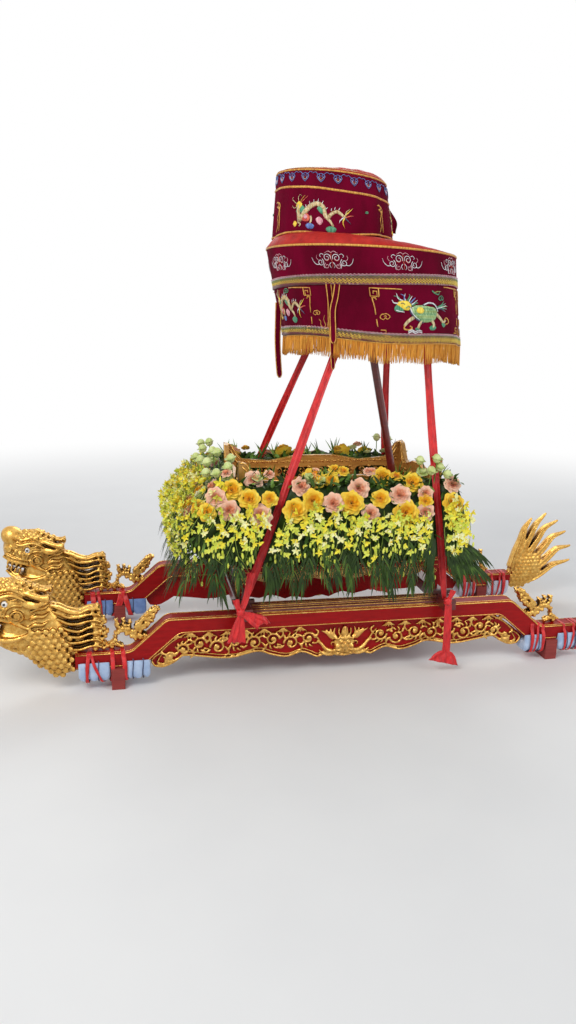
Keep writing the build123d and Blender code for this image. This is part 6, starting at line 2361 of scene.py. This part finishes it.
for end, side, pads, tied, wraps, cloth in (
        ("front", "near", near_pads, near_ties, NEAR_WRAPS, PAD_BLUE),
        ("front", "far", far_pads, far_ties, FAR_WRAPS, PAD_STRONG),
        ("rear", "near", near_pads, near_ties, REAR_WRAPS, PAD_BLUE),
        ("rear", "far", far_pads, far_ties, REAR_WRAPS, PAD_PALE)):
    name = "%s_%s" % (end, side)
    bands = Build()
    for sizes in wraps:
        wrap(bands, *sizes)
    forms = [pads, tied, bands]
    if end == "rear":
        forms = [form.mirrored(0) for form in forms]
    if side == "far":
        forms = [form.mirrored(1) for form in forms]
    pad = forms[0].piece("pads_" + name, [cloth], "pad_cloth", ["shoulder_pads_" + end])
    forms[1].piece("pad_ties_" + name, [TIE_DARK], "satin")
    band = forms[2].piece("pad_ribbons_" + name, [RED_SATIN], "satin", most=4000)


# Guy ribbons of the parasol, knotted to the crossbars' ends
for name, foot, head in RIBBON_ENDS:
    foot, head = Vector(foot), Vector(head)
    steps = 60
    path, widths = [], []
    for i in range(steps + 1):
        share = i / steps
        path.append(foot.lerp(head, share) + Vector((0.002 * math.sin(9 * share), 0.0, 0.0)))
        near_knot = math.exp(-share * steps / 4)
        widths.append(0.036 * (1 - 0.45 * near_knot) + 0.003 * math.sin(17 * share))
    ribbon = wrinkled(path, (1, 0, 0.1), widths, 1.6, 0.0022, 0.0007, 14).piece(
        "guy_ribbon_" + name, [RED_SATIN], "satin", ["guy_ribbons"])


def knot(centre, size):
    """Two turns of ribbon pulled tight into a knot."""
    made = Build()
    ball(made, centre, (size, size * 0.7, size * 0.8), 20, 12)
    for tilt, shift in ((0.35, 0.25), (-0.55, -0.2), (1.35, 0.0)):
        ring, normals = [], []
        for i in range(28):
            t = 2 * math.pi * i / 28
            p = Vector((size * 1.02 * math.cos(t), size * 0.76 * math.sin(t),
                        size * shift * math.cos(t * 2) * 0.4))
            p = Matrix.Rotation(tilt + 1.2, 3, "Y") @ p
            ring.append(tuple(Vector(centre) + p))
            normals.append(tuple(p))
        ridge(made, ring, normals, size * 0.85, size * 0.16, 0, 10, True)
    return made


def loop_of(start, end, back, width, fat=0.016):
    """A bow's loop: from the knot out to the end, round, and back behind itself."""
    start, end, back = Vector(start), Vector(end), Vector(back)
    path, widths, depths = [], [], []
    steps = 34
    for i in range(steps + 1):
        t = i / steps
        swing = math.sin(math.pi * t)
        out = 1 - abs(2 * t - 1) ** 1.7
        side = fat * (1 if t > 0.5 else -1) * swing * abs(2 * t - 1) ** 0.5 * 0.8
        path.append(start.lerp(end, out) + back * side)
        widths.append(width * (0.22 + 0.78 * out ** 0.75))
        depths.append(0.0014 + 0.0030 * (1 - abs(2 * t - 1)))
    return path, widths, depths


def tail_of(points, widths, folds):
    """A bow's loose end: its path, its widths and the depth of its folds."""
    path = smooth_path(points, 6)
    shares = [i / (len(path) - 1) for i in range(len(path))]
    across = [widths[0] + (widths[1] - widths[0]) * t ** 0.8 for t in shares]
    return path, across, [0.0012 + folds * t for t in shares]


def bow(name, foot, parts, hand):
    """A knot with loops and tails at a crossbar's end, in near-side coordinates."""
    made = knot(foot, 0.017)
    for path, widths, depths, waves in parts:
        path = [Vector(foot) + Vector(p) for p in path]
        made.join(wrinkled(path, (1, 0, 0) if abs(path[0].x - path[-1].x) < 0.05 else (0.5, 0, 0.8),
                           widths, waves, depths, 0.0007, 22))
    made = made if hand < 0 else made.mirrored(1)
    thing = made.piece("bow_" + name, [RED_SATIN], "satin")


Y_OUT = Vector((0, 1, 0))
front_foot = (-0.484, -0.4895, 0.334)
for hand, name in ((-1, "front_near"), (1, "front_far")):
    pear = loop_of((0, -0.004, -0.006), (-0.020, -0.014, -0.128), Y_OUT, 0.078, fat=0.012)
    second = loop_of((0.004, -0.004, 0.0), (0.092, -0.012, -0.050), Y_OUT, 0.068, fat=0.014)
    stub = tail_of([(0.0, -0.002, 0.0), (-0.014, -0.004, 0.030), (-0.022, -0.006, 0.062)], (0.014, 0.030),
                   0.003)
    rise = tail_of([(0.004, 0.000, 0.006), (0.022, 0.012, 0.050), (0.040, 0.024, 0.120),
                    (0.052, 0.034, 0.165)], (0.018, 0.036), 0.002)
    bow(name, front_foot, [(*pear, 3.5), (*second, 3.0), (*stub, 1.5), (*rise, 1.5)], hand)
rear_foot = (0.448, -0.4895, 0.334)
for hand, name in ((-1, "rear_near"), (1, "rear_far")):
    fall = tail_of([(0, -0.002, 0.004), (0.002, -0.006, -0.03), (0.004, -0.006, -0.12),
                    (0.006, -0.004, -0.20), (0.004, -0.004, -0.248)], (0.030, 0.040), 0.0015)
    flare = tail_of([(0.004, -0.004, -0.236), (0.000, -0.007, -0.258), (-0.008, -0.012, -0.290)],
                    (0.042, 0.150), 0.006)
    stub = tail_of([(0.002, 0.0, 0.0), (0.012, -0.002, 0.026), (0.022, -0.003, 0.052)], (0.014, 0.028),
                   0.003)
    bow(name, rear_foot, [(*fall, 1.5), (*flare, 2.5), (*stub, 1.5)], hand)


# Altar: lacquered box with gilt lines, panels and feet, and a railing of pierced gilt scrolls
ALTAR_HALVES = (0.450, 0.270)
PANEL_LOW, PANEL_HIGH = 0.476, 0.696
RAIL_THICK = 0.018
SIDES = (("near", 0), ("far", 0), ("front", 1), ("rear", 1))


def on_face(build, points, face, width, height, tip=None, steps=5, smooth=True):
    """A raised band on one of the altar's four sides; points are along and up."""
    flat = smooth_path(points, steps) if smooth else divided(points, 0.02)
    normal, place = face
    path = [place(a, b) for a, b in flat]
    widths = [width] * len(path) if tip is None else taper(len(path), width, tip, 0.3)
    ridge(build, path, normal, widths, [height * w / width for w in widths])


def side_of(which, depth):
    """The outward normal and the placing of one side at a distance from the middle."""
    return {
        "near": ((0, -1, 0), lambda a, b: Vector((a, -depth, b))),
        "far": ((0, 1, 0), lambda a, b: Vector((-a, depth, b))),
        "front": ((-1, 0, 0), lambda a, b: Vector((-depth, -a, b))),
        "rear": ((1, 0, 0), lambda a, b: Vector((depth, a, b)))}[which]


def frame_line(build, face, low, high, inset, width, height):
    """A line inside a rectangle."""
    left, foot, right, top = low[0] + inset, low[1] + inset, high[0] - inset, high[1] - inset
    corners = [(left, foot), (right, foot), (right, top), (left, top), (left, foot)]
    on_face(build, corners, face, width, height, smooth=False)


def scroll_panel(build, face, low, high):
    """A panel of paired scrolls round a flower, with leaves."""
    cx, cz = (low[0] + high[0]) / 2, (low[1] + high[1]) / 2
    w, h = (high[0] - low[0]) / 2, (high[1] - low[1]) / 2
    place = face[1]
    for k in range(8):
        angle = 2 * math.pi * k / 8
        petal_at = place(cx + 0.30 * h * math.cos(angle), cz + 0.30 * h * math.sin(angle))
        ball(build, petal_at, (0.16 * h,) * 3, 8, 5)
    ball(build, place(cx, cz), (0.2 * h,) * 3, 12, 8)
    count = max(1, round(w / h * 0.8))
    for hand in (-1, 1):
        for i in range(count):
            x = cx + hand * (0.62 * h + (w - 0.62 * h) * (i + 0.5) / count)
            up = 1 if (i + (hand > 0)) % 2 else -1
            start = 90 * up + 90 - 60 * hand
            ring = spiral((x, cz - 0.12 * h * up), 0.55 * h, 0.10 * h, start, 1.4 * hand * up, 22)
            on_face(build, ring, face, 0.15 * h, 0.006, tip=0.5, steps=1)
            for j in (-1, 0, 1):
                lean = j * 0.34 * h
                leaf = [(x, cz + 0.45 * h * up), (x + 0.6 * lean, cz + 0.66 * h * up),
                        (x + 1.2 * lean, cz + (0.90 - 0.08 * abs(j)) * h * up)]
                on_face(build, leaf, face, 0.16 * h, 0.005, tip=0.2, steps=4)


def reach_of(name, along):
    """How far a solid's outer face is from the middle, on a side that runs along x (0) or y (1)."""
    low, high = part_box(name)
    return max(abs(low[1 - along]), abs(high[1 - along]))


work, plain = Build(), Build()
for which, along in SIDES:
    half, depth = ALTAR_HALVES[along], ALTAR_HALVES[1 - along]
    face = side_of(which, reach_of("altar_panel_" + which, along))
    opening = half - 0.050
    frame_line(plain, face, (-opening, PANEL_LOW), (opening, PANEL_HIGH), 0.010, 0.006, 0.0025)
    bays = (3, 1)[along]
    for bay in range(bays):
        low = -opening + 0.026 + (2 * opening - 0.052) * bay / bays
        high = -opening + 0.026 + (2 * opening - 0.052) * (bay + 1) / bays
        frame_line(plain, face, (low, 0.500), (high, 0.672), 0.006, 0.005, 0.0022)
        scroll_panel(work, face, (low + 0.018, 0.516), (high - 0.018, 0.656))
    post = side_of(which, depth)
    for hand in (-1, 1):
        a, b = sorted((hand * (half - 0.008), hand * (half - 0.040)))
        frame_line(plain, post, (a, 0.480), (b, 0.692), 0.004, 0.0045, 0.002)
    for name in ("altar_base", "altar_top"):
        low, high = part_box(name)
        rim = side_of(which, high[1 - along])
        wide = high[along] - 0.004
        for z in (low.z + 0.006, high.z - 0.006):
            on_face(plain, [(-wide, z), (wide, z)], rim, 0.005, 0.002, smooth=False)
    rim = side_of(which, reach_of("altar_aprons", along))
    wide = half - 0.075
    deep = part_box("altar_aprons")[0].z
    edge = [(-wide + 2 * wide * i / 24, deep + 0.012 + 0.010 * abs(math.sin(math.pi * i / 4)))
            for i in range(25)]
    on_face(plain, edge, rim, 0.006, 0.003, steps=3)
    for i in range(-3, 4):
        x = wide * i / 3.6
        for hand in (-1, 1):
            ring = spiral((x + hand * 0.024, deep + 0.030), 0.015, 0.004, 90, hand * 1.3, 18)
            on_face(plain, ring, rim, 0.005, 0.003, tip=0.5, steps=2)
        on_face(plain, [(x, deep + 0.018), (x, deep + 0.036), (x, deep + 0.050)], rim, 0.010, 0.004,
                tip=0.2)
work.piece("altar_carving", [GILT_FINE], "carved_gilt", most=16000)
plain.piece("altar_lines", [GILT_FINE], "gilt", most=20000)

# Feet: gilt masks and scrolls on the outer sides of the four feet
feet = Build()
foot_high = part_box("altar_feet")[1]
for x_hand in (-1, 1):
    for y_hand in (-1, 1):
        for which, along in (("near" if y_hand < 0 else "far", 0),
                             ("front" if x_hand < 0 else "rear", 1)):
            hand = {"near": x_hand, "far": -x_hand, "front": -y_hand, "rear": y_hand}[which]
            x = hand * (foot_high[along] - 0.030)
            face = side_of(which, foot_high[1 - along])
            for turn in (-1, 1):
                ring = spiral((x + turn * 0.013, 0.418), 0.011, 0.003, 90, turn * 1.3, 18)
                on_face(feet, ring, face, 0.006, 0.004, tip=0.5, steps=2)
                claw = [(x, 0.404), (x + turn * 0.010, 0.384), (x + turn * 0.004, 0.362),
                        (x + turn * 0.016, 0.350)]
                on_face(feet, claw, face, 0.008, 0.004, tip=0.4)
            for i in (-1, 0, 1):
                ray = [(x + i * 0.006, 0.400), (x + i * 0.013, 0.432)]
                on_face(feet, ray, face, 0.006, 0.004, tip=0.3, steps=4)
feet.piece("feet_carving", [GILT_FINE], "carved_gilt", most=8000)


# Railing: gold lines and openwork scrolls in each bay
def rail_edge(half, foot):
    """The railing's top edge: dipped in the middle and swept up at both corners."""
    high = foot + 0.112
    edge = [(half - 0.004, high + 0.094), (half - 0.034, high + 0.086), (half - 0.090, high + 0.012),
            (half * 0.5, high), (half * 0.2, high + 0.026)]
    return [(-x, z) for x, z in edge] + edge[::-1]


def both_faces(which, along):
    """A railing's outer face and its inner face."""
    depth = reach_of("railing_" + which, along)
    normal, place = side_of(which, depth - RAIL_THICK)
    return side_of(which, depth), (tuple(-c for c in normal), place)


openwork, bars = Build(), Build()
for which, along in SIDES:
    low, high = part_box("railing_" + which)
    half = (high[along] - low[along]) / 2
    for sheet in both_faces(which, along):
        top = [(x, z - 0.006) for x, z in rail_edge(half, low.z)]
        on_face(bars, top, sheet, 0.006, 0.0025, steps=5)
        foot = [(-half + 0.004, low.z + 0.008), (half - 0.004, low.z + 0.008)]
        on_face(bars, foot, sheet, 0.005, 0.002, smooth=False)
        for hand in (-1, 1):
            wing = [(hand * (half - inward), low.z + up) for inward, up in (
                (0.085, 0.104), (0.060, 0.112), (0.052, 0.135), (0.034, 0.165), (0.016, 0.186))]
            on_face(bars, wing, sheet, 0.010, 0.004, tip=0.5)
            ring = spiral((hand * (half - 0.040), low.z + 0.120), 0.016, 0.004, 90, hand * 1.4, 20)
            on_face(bars, ring, sheet, 0.007, 0.004, tip=0.5, steps=2)
    bays = (4, 2)[along]
    for bay in range(bays):
        a = -half + 0.03 + (2 * half - 0.06) * bay / bays
        b = -half + 0.03 + (2 * half - 0.06) * (bay + 1) / bays
        for sheet in both_faces(which, along):
            scroll_panel(openwork, sheet, (a + 0.012, low.z + 0.022), (b - 0.012, low.z + 0.090))
bars.piece("railing_lines", [GILT_FINE], "gilt", most=8000)
for which, along in SIDES[:2]:
    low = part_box("railing_" + which)[0]
    for sheet in both_faces(which, along):
        for i in range(-11, 12):
            x = 0.034 * i
            crest = [(x - 0.012, low.z + 0.098), (x - 0.004, low.z + 0.108), (x + 0.006, low.z + 0.104),
                     (x + 0.012, low.z + 0.114)]
            on_face(openwork, crest, sheet, 0.007, 0.004, tip=0.4, steps=4)
openwork.piece("railing_scrolls", [GILT_FINE], "carved_gilt", most=36000)


# Camera, light and floor
CAMERA_PLACE = (-0.92, -3.663, 1.55)
CAMERA_TURN = (11.29, 13.58, 0.9)
CAMERA_LENS = 36 * 799 / 1024
FLOOR_REACH, FLOOR_STEPS, FLOOR_Z = 14.0, 28, -0.0005
FADE_START, FADE_END = 2.4, 7.0


def make_camera():
    yaw, pitch, roll = (math.radians(angle) for angle in CAMERA_TURN)
    ahead = Vector((math.sin(yaw) * math.cos(pitch), math.cos(yaw) * math.cos(pitch), -math.sin(pitch)))
    right = Vector((math.cos(yaw), -math.sin(yaw), 0))
    up = right.cross(ahead)
    right, up = right * math.cos(roll) + up * math.sin(roll), up * math.cos(roll) - right * math.sin(roll)
    data = bpy.data.cameras.new("camera")
    data.sensor_width = 36
    data.lens = CAMERA_LENS
    camera = placed("camera", data)
    turn = Matrix((right, up, -ahead)).transposed()
    camera.matrix_world = Matrix.Translation(CAMERA_PLACE) @ turn.to_4x4()
    bpy.context.scene.camera = camera


def make_lamp(name, place, aim, size, power, colour=(1, 1, 1)):
    data = bpy.data.lights.new(name, "AREA")
    data.shape = "DISK"
    data.size = size
    data.energy = power
    data.color = colour
    lamp = placed(name, data)
    lamp.location = place
    lamp.rotation_euler = (Vector(aim) - Vector(place)).to_track_quat("-Z", "Y").to_euler()


def make_world():
    """Soft light on the object, and plain white where the camera looks past it."""
    world = bpy.data.worlds.new("studio")
    bpy.context.scene.world = world
    world.use_nodes = True
    tree = world.node_tree
    tree.nodes.clear()
    out, path, blend = (tree.nodes.new("ShaderNode" + kind)
                        for kind in ("OutputWorld", "LightPath", "MixShader"))
    for place, colour, strength in ((1, (0.93, 0.96, 1.0, 1), 0.50), (2, (1, 1, 1, 1), 1.0)):
        glow = tree.nodes.new("ShaderNodeBackground")
        glow.inputs["Color"].default_value = colour
        glow.inputs["Strength"].default_value = strength
        tree.links.new(glow.outputs[0], blend.inputs[place])
    seen = path.outputs["Is Camera Ray"]
    for ray in ("Is Glossy Ray", "Is Transmission Ray"):
        most = tree.nodes.new("ShaderNodeMath")
        most.operation = "MAXIMUM"
        tree.links.new(seen, most.inputs[0])
        tree.links.new(path.outputs[ray], most.inputs[1])
        seen = most.outputs[0]
    tree.links.new(seen, blend.inputs[0])
    tree.links.new(blend.outputs[0], out.inputs["Surface"])


def make_floor():
    """A pale floor that fades into the white behind the object."""
    shade = Shade("floor", roughness=0.9)
    colour = shade.ramp(shade.noise(2.2, 3), (0.2, (0.80, 0.80, 0.80)), (0.8, (0.84, 0.84, 0.835)))
    shade.finish(colour)
    away = shade.node("ShaderNodeVectorMath", operation="LENGTH")
    shade.feed(away.inputs[0], shade.place)
    far = shade.node("ShaderNodeMapRange", interpolation_type="SMOOTHSTEP")
    for key, value in (("From Min", FADE_START), ("From Max", FADE_END),
                       ("Value", away.outputs["Value"])):
        shade.feed(far.inputs[key], value)
    seen = shade.node("ShaderNodeLightPath").outputs["Is Camera Ray"]
    blend = shade.node("ShaderNodeMixShader")
    out = next(node for node in shade.tree.nodes if node.type == "OUTPUT_MATERIAL")
    shade.feed(blend.inputs[0], shade.maths("MULTIPLY", far.outputs["Result"], seen))
    shade.feed(blend.inputs[1], shade.skin.outputs[0])
    shade.feed(blend.inputs[2], shade.node("ShaderNodeEmission").outputs[0])
    shade.feed(out.inputs["Surface"], blend.outputs[0])
    made = Build()
    marks = [-FLOOR_REACH + 2 * FLOOR_REACH * i / FLOOR_STEPS for i in range(FLOOR_STEPS + 1)]
    made.add([(x, y, FLOOR_Z) for y in marks for x in marks], grid_faces(FLOOR_STEPS, FLOOR_STEPS))
    mesh = made.mesh("floor")
    mesh.materials.append(shade.material)
    placed("floor", mesh)


make_camera()
make_world()
make_lamp("key", (-3.2, -3.4, 4.6), (0, 0, 0.9), 3.0, 150, (1.0, 0.98, 0.95))
make_lamp("fill", (3.6, -3.8, 2.8), (0, 0, 0.9), 3.4, 60, (0.96, 0.98, 1.0))
make_lamp("back", (0.6, 4.2, 4.0), (0, 0, 1.0), 3.0, 70)
make_floor()
bpy.context.scene.view_settings.view_transform = "Standard"
